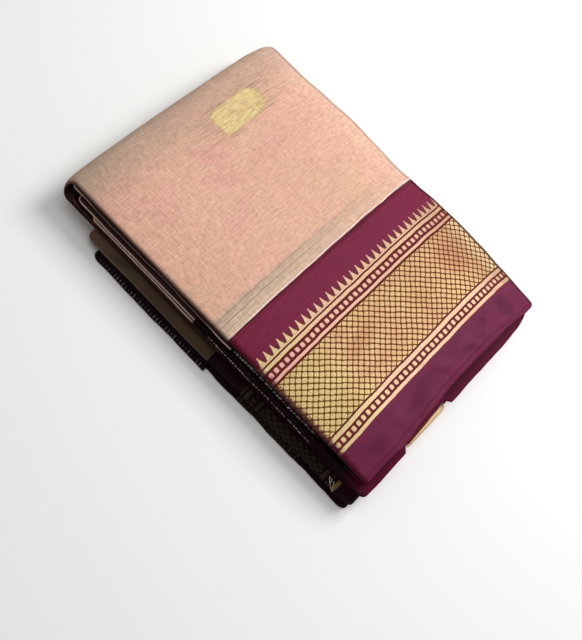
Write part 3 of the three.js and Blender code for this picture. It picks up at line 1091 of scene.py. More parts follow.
    def figure(self, b: ClothBoard, colour: Any) -> Any:
        """Adds the strip by the join, the painted shade of the far fold, a painted highlight by the right
        edge and the woven rectangle.

        Args:
            b: the board to wire on.
            colour: the plain cloth's colour.

        Returns:
            The figured colour.
        """
        band = b.add("MapRange", b.stretched(0.008, 0.35, 3.0, 3.0), 0.35, 0.7, 0.0, 0.5)
        strip = b.add("MapRange", b.v, 9.0, 4.5, 0.0, 0.85)
        fade = b.add("MapRange", b.u, 135.0, -60.0, 0.1, 1.0)
        strip = b.add("Math.MULTIPLY", strip, fade)
        tone = b.add("MixRGB", b.add("MapRange", b.v, 5.0, -9.0, 0.0, 0.75), self.strip, self.strip_pale)
        tone = b.add("MixRGB", band, tone, self.strip_grey)
        colour = b.add("MixRGB", strip, colour, tone)
        stray = b.bowed(b.add("Math.SUBTRACT", -14.0, b.v))
        level = b.add("Math.SUBTRACT", b.v, stray)
        for place, half, strength in self.strip_lines:
            line = b.add("MapRange", b.off(level, place), half, half * 0.3, 0.0, strength)
            line = b.add("Math.MULTIPLY", line, b.add("MapRange", b.u, 60.0, -80.0, 0.15, 1.0))
            colour = b.add("MixRGB", line, colour, self.strip_line)
        far = b.add("MapRange", b.v, 128.0, 187.0, 0.0, 0.85, interpolation_type="SMOOTHSTEP")
        corner = b.add("MapRange", b.u, 40.0, -130.0, 0.75, 1.15)
        for cover, tone in (
            (b.add("MapRange", b.off(level, self.join_line_v), 0.8, 0.4), self.join_line),
            (b.add("MapRange", level, -13.9, -14.2), self.maroon),
            (b.add("Math.MULTIPLY", far, corner, use_clamp=True), self.fold_shade),
            # Painted highlight before the right rolled edge.
            (b.add("MapRange", b.u, 104.0, 128.0, 0.0, 0.14), self.right_highlight),
        ):
            colour = b.add("MixRGB", cover, colour, tone)
        return self.rectangle(b, colour)

    def rectangle(self, b: ClothBoard, colour: Any) -> Any:
        """Adds the woven gold rectangle and the loose threads beside it.

        Args:
            b: the board to wire on.
            colour: the colour below it.

        Returns:
            The colour with the rectangle.
        """
        ragged = b.add("MapRange", b.stretched(0.1, 0.7, 2.0, 9.0), 0.3, 0.7, -1.3, 1.3)
        middle_u, middle_v = self.butta_middle
        slope = b.add("Math.MULTIPLY", b.add("Math.SUBTRACT", b.u, middle_u), self.butta_slope)
        du = b.add("Math.SUBTRACT", b.add("Math.ADD", b.u, ragged), middle_u)
        du = b.add("Math.DIVIDE", du, self.butta_half[0])
        dv = b.add("Math.SUBTRACT", b.add("Math.SUBTRACT", b.v, slope), middle_v)
        dv = b.add("Math.DIVIDE", dv, self.butta_half[1])
        power = b.add("MapRange", du, -0.2, 0.9, 7.0, 3.2)
        power_u = b.add("Math.POWER", b.add("Math.ABSOLUTE", du), power)
        power_v = b.add("Math.POWER", b.add("Math.ABSOLUTE", dv), power)
        outline = b.add("Math.ADD", power_u, power_v)
        inside = b.add("MapRange", outline, 1.3, 0.85, 0.0, 0.95)
        rim = b.add("MapRange", outline, 0.5, 1.05, 0.0, 0.45)

        # A peach figure shows through in its middle, and its threads run both ways.
        middle = b.spot((38, 146), (22, 10))
        figure = b.add("MapRange", b.stretched(0.12, 0.16, 3.0, 15.0, 0.8), 0.46, 0.56, 0.0, 0.7)
        gold = self.butta
        for cover, tone in (
            (b.add("Math.MULTIPLY", middle, figure), self.figure_peach),
            (b.add("MapRange", b.stretched(0.06, 1.0, 2.0, 8.0), 0.5, 0.66, 0.0, 0.55), self.butta_dark),
            (b.add("MapRange", b.stretched(0.8, 0.06, 2.0, 12.0), 0.55, 0.68, 0.0, 0.45), self.butta_dark),
            (b.add("MapRange", b.stretched(0.1, 0.8, 2.0, 3.0), 0.54, 0.64, 0.0, 0.6), self.butta_glint),
            (rim, self.butta_dark),
        ):
            gold = b.add("MixRGB", cover, gold, tone)
        streaks = b.add("MapRange", b.stretched(0.025, 0.95, 2.0, 6.0), 0.5, 0.6, 0.0, 0.75)
        beside = b.add("MapRange", b.add("Math.ABSOLUTE", du), 2.2, 1.1)
        level = b.add("MapRange", b.add("Math.ABSOLUTE", dv), 1.5, 0.9)
        loose = b.add("Math.MULTIPLY", b.add("Math.MULTIPLY", beside, level), streaks)
        colour = b.add("MixRGB", loose, colour, self.loose_thread)
        return b.add("MixRGB", inside, colour, gold)


@dataclass(frozen=True)
class ZariBorder:
    """Maroon border cloth brocaded with flat gold-wrapped thread.

    The ground is close and slightly lustrous. The gold thread lies a little proud and
    scatters light softly, so its bands look pale and dry, not like solid metal.
    """

    name: str
    join: float
    scale: float = 1.0
    ground: str = "#691d36"
    ground_light: str = "#7e2845"
    low_ground: str = "#65213f"
    # Painted shade of soft wrinkles in the slack cloth by the selvedge.
    wrinkle_shade: str = "#4c0e31"
    brown: str = "#561a0a"
    channel: str = "#6a2628"
    gold: str = "#ccab80"
    rose_gold: str = "#cf9a80"
    green_gold: str = "#e0d48f"
    pale: str = "#e3b9a6"
    # Painted light: the lighter maroon of a shaded copy's near end.
    lit_end_tone: str | None = None
    edge_shade: str = "#540c20"
    line: str = "#745313"
    red_line: str = "#773a1c"
    glint: str = "#f2e8b4"
    grain_tone: str = "#93653f"
    core_tone: str = "#8d6a3c"
    thin_tone: str = "#a8584a"
    rosy: str = "#dd9c9c"
    temple_gap: str = "#5a3018"
    low_light: str = "#78284a"
    # Painted shade in the crevice under the top panel's selvedge.
    crevice_shade: str = "#440820"
    join_thread: str = "#e8cdbd"
    # Painted shade under the rolled edge.
    roll_under_shade: str = "#1a040b"
    # Painted shade along the right rolled edge.
    right_roll_shade: str = "#34120e"
    # Painted shade for the cloth's inner skin inside the packet.
    within: str = "#16040a"
    sheen: str = "#d88a90"
    gloss: float = 0.07
    # last_band: a lighter tone for the last gold band of a shaded copy, as painted light where that band
    # takes the light.
    last_band: str | None = None
    last_band_start: float = 132.4
    slant: float = 0.0
    dashes: bool = False
    # inside: painted shade on the faces between layers, away from the edge.
    inside: str | None = None
    figured: bool = False
    stripes: tuple[tuple[float, str], ...] = (
        (0.0, "ground"), (0.3, "brown"), (1.0, "ground"), (3.6, "brown"), (3.9, "ground"),
        (35.2, "gold"), (36.7, "brown"), (38.8, "gold"), (42.0, "brown"), (43.9, "channel"),
        (49.5, "brown"), (51.0, "gold"), (53.7, "brown"), (56.2, "gold"), (119.3, "brown"),
        (121.3, "gold"), (124.9, "brown"), (126.7, "channel"), (131.6, "brown"), (133.3, "gold"),
        (136.2, "ground"),
    )
    reach: float = 140.0
    net: tuple[float, float] = (55.9, 119.7)
    net_gold: tuple[float, float] = (56.0, 119.7)
    cell: tuple[float, float] = (7.75, 7.09)
    rosy_band: tuple[float, float] = (44.0, 56.0)
    # Where painted shade runs along a ripple of the slack cloth.
    ripple_line: float = 166.0
    temple_pitch: float = 8.35
    temple_span: tuple[float, float] = (27.0, 35.3)
    temple_foot: float = 3.05
    temple_tip: float = 0.45
    dot_pitch: float = 6.7
    dot_rows: tuple[float, float] = (46.7, 129.2)
    net_casts: tuple[Oval, ...] = (
        ((-46, -94), (34, 13), 12, 0.42), ((90, -98), (22, 26), 0, 0.42), ((30, -108), (16, 20), 0, 0.25),
        ((-92, -128), (14, 10), 0, 0.2),
    )
    # Painted shadows of soft wrinkles on the slack cloth by the selvedge: their middles, half sizes, turns
    # and strengths.
    wrinkle_shade_spots: tuple[Oval, ...] = (
        ((-36, -165), (26, 11), 14, 0.55), ((98, -167), (15, 17), 0, 0.6), ((28, -173), (18, 7), -8, 0.35),
        ((-104, -170), (24, 9), 0, 0.4), ((66, -160), (14, 8), 30, 0.3),
    )

    def bands(self, b: Board, share: Any, tone: str) -> Any:
        """The stripes of one tone.

        Args:
            b: the board to wire on.
            share: distance from the join as a share of the reach.
            tone: the stripes' tone.

        Returns:
            1 on a stripe of that tone, 0 off it.
        """
        colour = b.add("ValToRGB", share)
        ramp = colour.node.color_ramp
        ramp.interpolation = "CONSTANT"
        while len(ramp.elements) < len(self.stripes):
            ramp.elements.new(1.0)
        for element, (place, name) in zip(ramp.elements, self.stripes):
            element.position = place / self.reach
            element.color = linear("#ffffff" if name == tone else "#000000")
        return colour

    def build(self) -> bpy.types.Material:
        """Builds the material.

        Returns:
            The finished material.
        """
        b = ClothBoard(self.name)
        d = b.add("Math.MULTIPLY", b.add("Math.SUBTRACT", self.join, b.v), self.scale)
        if self.figured:
            d = b.add("Math.ADD", d, b.bowed(d))
        if self.slant:
            d = b.add("Math.ADD", d, b.add("Math.MULTIPLY", b.u, self.slant))
        share = b.add("Math.DIVIDE", d, self.reach, use_clamp=True)
        net, core, knots = self.lattice(b, d)
        figures = self.dots(b, d)
        if self.figured:
            figures = b.add("Math.MAXIMUM", self.temples(b, d), figures)
        zari = b.add("Math.MAXIMUM", self.bands(b, share, "gold"), figures)
        zari = b.add("Math.SUBTRACT", zari, net, use_clamp=True)
        brown = self.bands(b, share, "brown")

        # Gold thread turns from greenish to rosy along its length.
        drift = b.add("MapRange", b.stretched(0.016, 0.03, 4.0), 0.3, 0.7, 0.3, 0.9)
        green_end = b.add("MapRange", b.u, -60.0, -112.0)
        drift = b.add("Math.SUBTRACT", drift, green_end, use_clamp=True)
        gold = b.add("MixRGB", drift, self.green_gold, self.rose_gold)
        gold = b.add("MixRGB", 0.4, gold, self.gold)
        in_net = b.between(d, *self.net_gold)
        paleness = b.add("MapRange", b.u, -110.0, -50.0, 0.25, 0.65)
        pale = b.add("MixRGB", paleness, gold, self.pale)
        gold = b.add("MixRGB", in_net, pale, gold)
        thin = b.add("MapRange", b.stretched(0.02, 0.045, 4.0, 19.0), 0.52, 0.64, 0.0, 0.18)
        if self.figured:
            for middle, half, turn, strength in self.net_casts:
                cast = b.add("Math.MULTIPLY", b.spot(middle, half, turn), strength)
                thin = b.add("Math.MAXIMUM", thin, cast)
        rosy = b.add("MapRange", b.u, -60.0, -110.0, 0.25, 0.7)
        bright = b.add("MapRange", b.u, 110.0, 124.0, 0.0, 0.5)
        channel_gold = self.rosy if self.figured else self.gold
        for cover, tone in (
            (b.add("MapRange", b.stretched(1.1, 0.5, 2.0, 7.0), 0.4, 0.7, 0.0, 0.5), self.grain_tone),
            (b.add("Math.MULTIPLY", core, 0.4), self.core_tone),
            (b.add("Math.MULTIPLY", thin, in_net), self.thin_tone),
            (b.add("Math.MULTIPLY", b.between(d, *self.rosy_band), rosy), channel_gold),
            (b.add("Math.MULTIPLY", bright, in_net), self.glint),
            (b.add("MapRange", b.u, -75.0, 40.0, 0.0, 0.25), self.line),
        ):
            gold = b.add("MixRGB", cover, gold, tone)
        # Painted light on the last gold band of a shaded copy.
        if self.last_band:
            last = b.add("Math.GREATER_THAN", d, self.last_band_start)
            gold = b.add("MixRGB", last, gold, self.last_band)

        # Ground threads are 0.25 mm apart; they are drawn as 1 mm streaks so that they show.
        streak = b.stretched(0.06, 0.9, 3.0)
        ground = b.add("MixRGB", b.add("MapRange", streak, 0.3, 0.7), self.ground, self.ground_light)
        if self.figured:
            ground = self.slack_end(b, d, ground)
            between = b.add("MapRange", d, 28.5, 35.0, 0.0, 0.75)
            between = b.add("Math.MULTIPLY", between, b.add("Math.LESS_THAN", d, 36.0))
            ground = b.add("MixRGB", between, ground, self.temple_gap)
        channel = b.add("Math.MULTIPLY", self.bands(b, share, "channel"), 0.75)
        ground = b.add("MixRGB", channel, ground, self.channel)
        cloth = b.add("MixRGB", brown, ground, self.brown)
        reddish = b.add("Math.MAXIMUM", drift, b.add("MapRange", b.u, 30.0, 90.0))
        netted = b.add("MixRGB", reddish, self.line, self.red_line)
        netted = b.add("MixRGB", knots, netted, self.brown)
        cloth = b.add("MixRGB", net, cloth, netted)
        colour = b.add("MixRGB", zari, cloth, gold)
        colour = self.shade(b, d, colour)
        height = b.add("Math.ADD", zari, b.add("Math.MULTIPLY", streak, 0.3))
        bump = b.add("Bump", named={"Strength": 0.4, "Distance": 0.0004, "Height": height})
        shader = b.add("BsdfPrincipled", colour, named={
            "Metallic": b.add("Math.MULTIPLY", zari, 0.2),
            "Roughness": b.add("MapRange", zari, 0.0, 1.0, 0.55, 0.42),
            "IOR": 1.5, "Sheen Weight": 0.02, "Sheen Roughness": 0.4,
            "Sheen Tint": self.sheen, "Specular IOR Level": self.gloss, "Normal": bump,
        })
        b.add("OutputMaterial", shader)
        return b.material

    def slack_end(self, b: ClothBoard, d: Any, ground: Any) -> Any:
        """Tones of the slack plain cloth by the selvedge, with painted shade where it wrinkles.

        Args:
            b: the board to wire on.
            d: distance from the join.
            ground: the plain ground.

        Returns:
            The ground with its patches and its ripple line.
        """
        low = b.add("MapRange", d, 134.0, 140.0)
        ground = b.add("MixRGB", low, ground, self.low_ground)
        light = b.add("MapRange", b.stretched(0.035, 0.06, 3.0, 2.0), 0.45, 0.65, 0.0, 0.5)
        ground = b.add("MixRGB", b.add("Math.MULTIPLY", light, low), ground, self.low_light)
        # Painted shade of soft wrinkles.
        for middle, half, turn, strength in self.wrinkle_shade_spots:
            share = b.add("Math.MULTIPLY", b.spot(middle, half, turn), strength)
            share = b.add("Math.MULTIPLY", share, low)
            ground = b.add("MixRGB", share, ground, self.wrinkle_shade)
        # Painted shade along a ripple of the slack cloth.
        sway = b.add("MapRange", b.stretched(0.03, 0.0, 2.0), 0.3, 0.7, -2.0, 2.0)
        away = b.off(b.add("Math.ADD", d, sway), self.ripple_line)
        line = b.add("MapRange", away, 1.6, 0.3, 0.0, 0.5)
        return b.add("MixRGB", line, ground, self.edge_shade)

    def shade(self, b: ClothBoard, d: Any, colour: Any) -> Any:
        """Paints the light and shade that fall on the border: shade on the rolled edge, the selvedge and what
        lies inside the packet, and light on the shaded copies' crests and near ends.

        Args:
            b: the board to wire on.
            d: distance from the join.
            colour: the colour before.

        Returns:
            The colour after.
        """
        if self.dashes:
            # The net shows on a fold's crest only as short dashes, two to a diamond: the net's gold is real,
            # and its light on the crests of the stacked edges is painted.
            level = b.add("SeparateXYZ", b.add("TexCoord", out="Object"), out="Z")
            crest = b.add("Math.SINE", b.add("Math.MULTIPLY", level, math.tau / (1.9 * MM)))
            jitter = b.add("MapRange", b.stretched(0.22, 0.22, 2.0, 43.0), 0.3, 0.7, -1.6, 1.6)
            dash = b.add("MapRange", b.repeat(b.add("Math.ADD", d, jitter), 3.55), 1.3, 0.7)
            for share in (
                b.add("MapRange", crest, -0.8, 0.1),
                b.add("MapRange", b.stretched(0.2, 0.2, 2.0, 31.0), 0.36, 0.56, 0.1, 0.95),
                b.add("MapRange", d, 16.0, 22.0),
                b.add("MapRange", d, 148.0, 136.0),
            ):
                dash = b.add("Math.MULTIPLY", dash, share)
            colour = b.add("MixRGB", dash, self.brown, self.pale)
        # The near end of a shaded copy is painted lighter where it takes the light.
        if self.lit_end_tone:
            near = b.add("MapRange", b.v, -160.0, -178.0)
            near = b.add("Math.MULTIPLY", near, b.add("MapRange", b.u, -147.0, -136.0))
            colour = b.add("MixRGB", near, colour, self.lit_end_tone)
            # Painted shade on the faces between layers, with painted crevice shade by the near end.
            if self.inside:
                inner = b.add("Math.SUBTRACT", b.edge, b.add("Math.MULTIPLY", near, 2.3))
                inner = b.add("Math.MULTIPLY", inner, b.add("MapRange", near, 0.0, 1.0, 1.0, 0.6))
                dark = b.add("MixRGB", near, self.inside, self.crevice_shade)
                return b.add("MixRGB", b.add("MapRange", inner, 0.4, 1.6), colour, dark)
        if not self.figured:
            return colour
        frayed = b.add("MapRange", b.stretched(0.3, 0.5, 3.0, 4.0), 0.3, 0.7, -2.2, 2.2)
        for cover, tone in (
            (b.add("MapRange", d, 0.1, -0.2), self.join_thread),
            (b.add("MapRange", b.add("Math.ADD", b.edge, frayed), 6.0, 2.2, 0.0, 0.9), self.edge_shade),
            # Painted shade under the rolled edge.
            (b.add("MapRange", b.edge, 1.3, -1.2, 0.0, 0.9), self.roll_under_shade),
            # Painted shade along the right rolled edge.
            (b.add("MapRange", b.u, 128.5, 129.8, 0.0, 0.85), self.right_roll_shade),
            # Painted shade on the inner skin inside the packet.
            (b.add("MapRange", b.edge, -7.0, -12.0), self.within),
        ):
            colour = b.add("MixRGB", cover, colour, tone)
        return colour

    def temples(self, b: ClothBoard, d: Any) -> Any:
        """The row of temple triangles.

        Args:
            b: the board to wire on.
            d: distance from the join.

        Returns:
            1 on a triangle, 0 off it.
        """
        tip, foot = self.temple_span
        away = b.repeat(b.u, self.temple_pitch)
        share = b.add("MapRange", d, tip, foot)
        width = b.add("Math.MULTIPLY", b.add("Math.POWER", share, 1.5), self.temple_foot - self.temple_tip)
        width = b.add("Math.ADD", width, self.temple_tip)
        inside = b.add("MapRange", b.add("Math.SUBTRACT", away, width), 0.25, -0.25)
        return b.add("Math.MULTIPLY", inside, b.between(d, tip, foot + 0.1))

    def dots(self, b: ClothBoard, d: Any) -> Any:
        """The two rows of square dots.

        Args:
            b: the board to wire on.
            d: distance from the join.

        Returns:
            1 on a dot, 0 off it.
        """
        away = b.add("Math.POWER", b.add("Math.DIVIDE", b.repeat(b.u, self.dot_pitch), 2.0), 4.0)
        rows = []
        for middle in self.dot_rows:
            off = b.add("Math.POWER", b.add("Math.DIVIDE", b.off(d, middle), 2.2), 4.0)
            rows.append(b.add("MapRange", b.add("Math.ADD", off, away), 1.3, 0.7))
        return b.add("Math.MAXIMUM", rows[0], rows[1])

    def lattice(self, b: ClothBoard, d: Any) -> tuple[Any, Any, Any]:
        """The wide net of diamonds.

        Args:
            b: the board to wire on.
            d: distance from the join.

        Returns:
            1 on the net's dark lines, on the core of each diamond and on the net's knots.
        """
        p = b.add("Math.DIVIDE", b.u, self.cell[0])
        q = b.add("Math.DIVIDE", b.add("Math.SUBTRACT", d, self.net[0]), self.cell[1])
        sides = []
        for operation, move, fullness in (("ADD", 51.0, 1.92), ("SUBTRACT", 67.0, 2.02)):
            sway = b.add("MapRange", b.stretched(0.07, 0.07, 2.0, move), 0.3, 0.7, -0.09, 0.09)
            whole = b.add("Math.ADD", b.add("Math." + operation, p, q), sway)
            share = b.add("Math.FRACT", whole)
            side = b.add("Math.MULTIPLY", b.off(share, 0.5), fullness)
            sides.append(b.add("Math.POWER", side, 4.0))
        edge = b.add("Math.POWER", b.add("Math.ADD", sides[0], sides[1]), 0.25)
        within = b.between(d, *self.net)
        line = b.add("Math.MULTIPLY", b.add("MapRange", edge, 0.7, 0.85), within)
        core = b.add("Math.MULTIPLY", b.add("MapRange", edge, 0.36, 0.12), within)
        knot = b.add("Math.MULTIPLY", b.add("MapRange", edge, 0.96, 1.08), within)
        return line, core, knot


@dataclass(frozen=True)
class ShadedBarBand:
    """Maroon border band crossed by gold bars, painted in deep shade.

    The ground is close silk, its maroon darkened almost to black as painted shade. The bars' own raised
    threads are separate pieces, so only a weak trace of them is woven into the ground.
    """

    name: str = "dark maroon silk band"
    # Maroon darkened almost to black as painted shade.
    ground: str = "#0e0305"
    trace: str = "#261a1c"
    pitch: float = 3.7

    def build(self) -> bpy.types.Material:
        """Builds the material.

        Returns:
            The finished material.
        """
        b = ClothBoard(self.name)
        bars = b.add("MapRange", b.repeat(b.v, self.pitch), 0.9, 0.4)
        broken = b.add("MapRange", b.stretched(0.33, 0.33), 0.42, 0.6, 0.0, 0.7)
        bars = b.add("Math.MULTIPLY", bars, broken)
        colour = b.add("MixRGB", bars, self.ground, self.trace)
        bump = b.add("Bump", named={"Strength": 0.4, "Distance": 0.0004, "Height": bars})
        shader = b.add("BsdfPrincipled", colour, named={
            "Roughness": 0.7, "IOR": 1.5, "Specular IOR Level": 0.05, "Normal": bump,
        })
        b.add("OutputMaterial", shader)
        return b.material


@dataclass(frozen=True)
class ZariThread:
    """Gold-wrapped thread, drawn grey-gold.

    Its default tones are the gold greyed and darkened as painted shade, for the bars on the shaded side,
    mixed at random with a darker worn tone; its metal strip is fine, so it gives a soft glint, not a mirror.
    """

    name: str = "shadowed gold-wrapped thread"
    # Gold greyed and darkened as painted shade.
    colour: str = "#5c5255"
    worn: str = "#3c2e2a"

    def build(self) -> bpy.types.Material:
        """Builds the material.

        Returns:
            The finished material.
        """
        b = MaterialBoard(self.name)
        place = b.add("TexCoord", out="Object")
        grain = b.add("TexNoise", place, named={"Scale": 1500.0, "Detail": 2.0}, out="Fac")
        share = b.add("MapRange", grain, 0.35, 0.65, 0.0, 0.7)
        colour = b.add("MixRGB", share, self.colour, self.worn)
        shader = b.add("BsdfPrincipled", colour, named={"Roughness": 0.5, "Metallic": 0.3})
        b.add("OutputMaterial", shader)
        return b.material


@dataclass(frozen=True)
class Trim:
    """Fine work that a node tree grows on set points of a stretch of cloth."""

    name: str
    slot: str

    def wire(self, b: Board, start: Any) -> Any:
        """Adds the nodes that grow the trim on its points.

        Args:
            b: the tree's board.
            start: the tree's inputs.

        Returns:
            The socket of the grown form.
        """
        raise NotImplementedError

    def grow(self, mesh: bpy.types.Mesh, values: dict[str, tuple[str, Any]]) -> bpy.types.Object:
        """Grows the trim on a mesh of points and turns it into plain faces.

        Args:
            mesh: the points.
            values: the kind and the value of each named input of the tree.

        Returns:
            The trim's object.
        """
        grown = bpy.data.objects.new(self.name, mesh)
        bpy.context.scene.collection.objects.link(grown)
        tree = bpy.data.node_groups.new(self.name, "GeometryNodeTree")
        for way in ("INPUT", "OUTPUT"):
            tree.interface.new_socket("Geometry", in_out=way, socket_type="NodeSocketGeometry")
        inputs = {
            key: tree.interface.new_socket(key, in_out="INPUT", socket_type=kind).identifier
            for key, (kind, _) in values.items()
        }
        b = Board(tree, "")
        start = b.add("NodeGroupInput").node.outputs
        solid = b.add("GeometryNodeRealizeInstances", self.wire(b, start))
        dressed = b.add("GeometryNodeSetMaterial", solid, named={"Material": start["Material"]})
        b.add("NodeGroupOutput", dressed)
        modifier = grown.modifiers.new(self.name, "NODES")
        modifier.node_group = tree
        for key, (_, value) in values.items():
            modifier[inputs[key]] = value
        shown = grown.evaluated_get(bpy.context.evaluated_depsgraph_get())
        plain = bpy.data.meshes.new_from_object(shown)
        grown.modifiers.clear()
        grown.data = plain
        return grown


@dataclass(frozen=True)
class ZariBars(Trim):
    """Raised gold-thread bars, uneven in size, along the dark band's draped edge."""

    name: str = "zari_bars"
    slot: str = "dark_border_cloth"
    start: float = -9.0
    pitch: float = 3.7
    count: int = 36
    level: float = 0.58
    lean: float = 31.0
    length: float = 1.3
    depth: float = 4.6
    thickness: float = 1.3
    sunk: float = 0.35
    unevenness: float = 0.75
    seed: int = 7

    def wire(self, b: Board, start: Any) -> Any:
        """Puts a bar on each point, leant and sized.

        Args:
            b: the tree's board.
            start: the tree's inputs.

        Returns:
            The socket of the bars.
        """
        lean = b.add("GeometryNodeInputNamedAttribute", "lean", data_type="FLOAT")
        turn = b.add("ShaderNodeCombineXYZ", 0.0, lean, 0.0)
        least = b.add("ShaderNodeMath.SUBTRACT", 1.0, start["Unevenness"])
        scale = b.add("FunctionNodeRandomValue", data_type="FLOAT", out=1,
                      named={2: least, 3: 1.0, "Seed": start["Seed"]})
        bar = b.add("GeometryNodeMeshCube", start["Size"])
        return b.add("GeometryNodeInstanceOnPoints", start["Geometry"], named={
            "Instance": bar, "Rotation": turn, "Scale": scale,
        })

    def build(self, host: Layer) -> bpy.types.Object:
        """Builds the bars as one mesh.

        Args:
            host: the band that they lie on.

        Returns:
            The bars' object.
        """
        y = self.start + self.pitch * np.arange(self.count)
        places = host.on_side(y, np.full_like(y, self.level), -self.sunk * self.thickness / 2)
        mesh = bpy.data.meshes.new(self.name)
        mesh.from_pydata([tuple(p) for p in places], [], [])
        leans = np.full(self.count, math.radians(self.lean), np.float32)
        mesh.attributes.new("lean", "FLOAT", "POINT").data.foreach_set("value", leans)
        return self.grow(mesh, {
            "Size": ("NodeSocketVector", [self.thickness * MM, self.length * MM, self.depth * MM]),
            "Unevenness": ("NodeSocketFloat", self.unevenness),
            "Seed": ("NodeSocketInt", self.seed),
            "Material": ("NodeSocketMaterial", ZariThread().build()),
        })


@dataclass(frozen=True)
class LooseThreads(Trim):
    """Pale loose threads that lie across the draped bundle's edge by its selvedge."""

    name: str = "loose_threads"
    slot: str = "border_cloth"
    radius: float = 0.36
    raised: float = 0.6
    fineness: int = 4
    runs: tuple[tuple[tuple[float, float], ...], ...] = (
        ((-170.6, 0.04), (-168.6, 0.24), (-165.9, 0.45), (-163.3, 0.65), (-160.8, 0.84), (-159.2, 0.96)),
        ((-171.0, 0.05), (-169.8, 0.3), (-168.2, 0.55), (-166.4, 0.78), (-165.2, 0.95)),
        ((-160.2, 0.9), (-161.9, 0.93), (-163.4, 0.85), (-163.7, 0.72), (-162.4, 0.65)),
    )

    def wire(self, b: Board, start: Any) -> Any:
        """Sweeps a round thread along each path.

        Args:
            b: the tree's board.
            start: the tree's inputs.

        Returns:
            The socket of the threads.
        """
        path = b.add("GeometryNodeMeshToCurve", start["Geometry"])
        ring = b.add("GeometryNodeCurvePrimitiveCircle", named={"Resolution": 6, "Radius": start["Radius"]})
        return b.add("GeometryNodeCurveToMesh", path, ring, named={"Fill Caps": True})

    def build(self, host: Layer) -> bpy.types.Object:
        """Builds the threads as one mesh.

        Args:
            host: the bundle that they lie on.

        Returns:
            The threads' object.
        """
        places, links = [], []
        for run in self.runs:
            along, height = np.array(run).T
            steps = np.linspace(0, len(run) - 1, self.fineness * len(run))
            along = np.interp(steps, np.arange(len(run)), along)
            height = np.interp(steps, np.arange(len(run)), height)
            first = sum(len(part) for part in places)
            places.append(host.on_side(along, height, self.raised * self.radius))
            links += [(first + i, first + i + 1) for i in range(len(steps) - 1)]
        mesh = bpy.data.meshes.new(self.name)
        mesh.from_pydata([tuple(p) for p in np.concatenate(places)], links, [])
        zari = ZariThread("pale loose zari thread", "#b3a896", "#80735f").build()
        return self.grow(mesh, {
            "Radius": ("NodeSocketFloat", self.radius * MM), "Material": ("NodeSocketMaterial", zari),
        })


@dataclass(frozen=True)
class PackedEdges:
    """Edges of many fine layers packed together.

    Seen from the side they are thin lines of light and shade, browner than the cloth's face,
    and maroon where the border's stretch is packed.
    """

    name: str = "packed silk cotton layers"
    light: str = "#70463a"
    dark: str = "#160a07"
    border_light: str = "#420f22"
    border_dark: str = "#14040a"
    pitch: float = 0.95

    def build(self) -> bpy.types.Material:
        """Builds the material.

        Returns:
            The finished material.
        """
        b = ClothBoard(self.name)
        place = b.add("TexCoord", out="Object")
        z = b.add("SeparateXYZ", place, out="Z")
        sway = b.stretched(0.02, 0.02, 2.0)
        level = b.add("Math.ADD", z, b.add("Math.MULTIPLY", sway, 0.002))
        turns = b.add("Math.MULTIPLY", level, math.tau / (self.pitch * MM))
        wave = b.add("Math.SINE", turns)
        lines = b.add("MapRange", wave, -0.2, 0.9)
        grain = b.add("MapRange", b.stretched(0.3, 0.12, 3.0), 0.35, 0.65, 0.3, 1.0)
        share = b.add("Math.MULTIPLY", lines, grain)
        plain = b.add("MixRGB", share, self.dark, self.light)
        border = b.add("MixRGB", share, self.border_dark, self.border_light)
        colour = b.add("MixRGB", b.add("MapRange", b.v, -15.0, -17.0), plain, border)
        bump = b.add("Bump", named={"Strength": 0.5, "Distance": 0.0004, "Height": wave})
        shader = b.add("BsdfPrincipled", colour, named={
            "Roughness": 0.8, "IOR": 1.5, "Specular IOR Level": 0.05, "Normal": bump,
        })
        b.add("OutputMaterial", shader)
        return b.material


# Painted shade: the border's tones darkened for the layers on the packet's shaded side; their end tone is the
# lighter maroon painted on their near ends, which take the light.
SHADED = {
    "ground": "#120309", "ground_light": "#18050b", "brown": "#0a0203", "gold": "#2c1d16",
    "rose_gold": "#301d19", "green_gold": "#2b2016", "pale": "#40332a", "line": "#0d0304",
    "red_line": "#0d0304", "channel": "#120306", "glint": "#2c1d16", "grain_tone": "#150c09",
    "core_tone": "#0f0806", "thin_tone": "#190a09", "lit_end_tone": "#520d28", "gloss": 0.04,
}
# The dashes' pale tone is painted light on the crests of the stacked edges.
DASHED = {**SHADED, "pale": "#a69a91", "dashes": True}

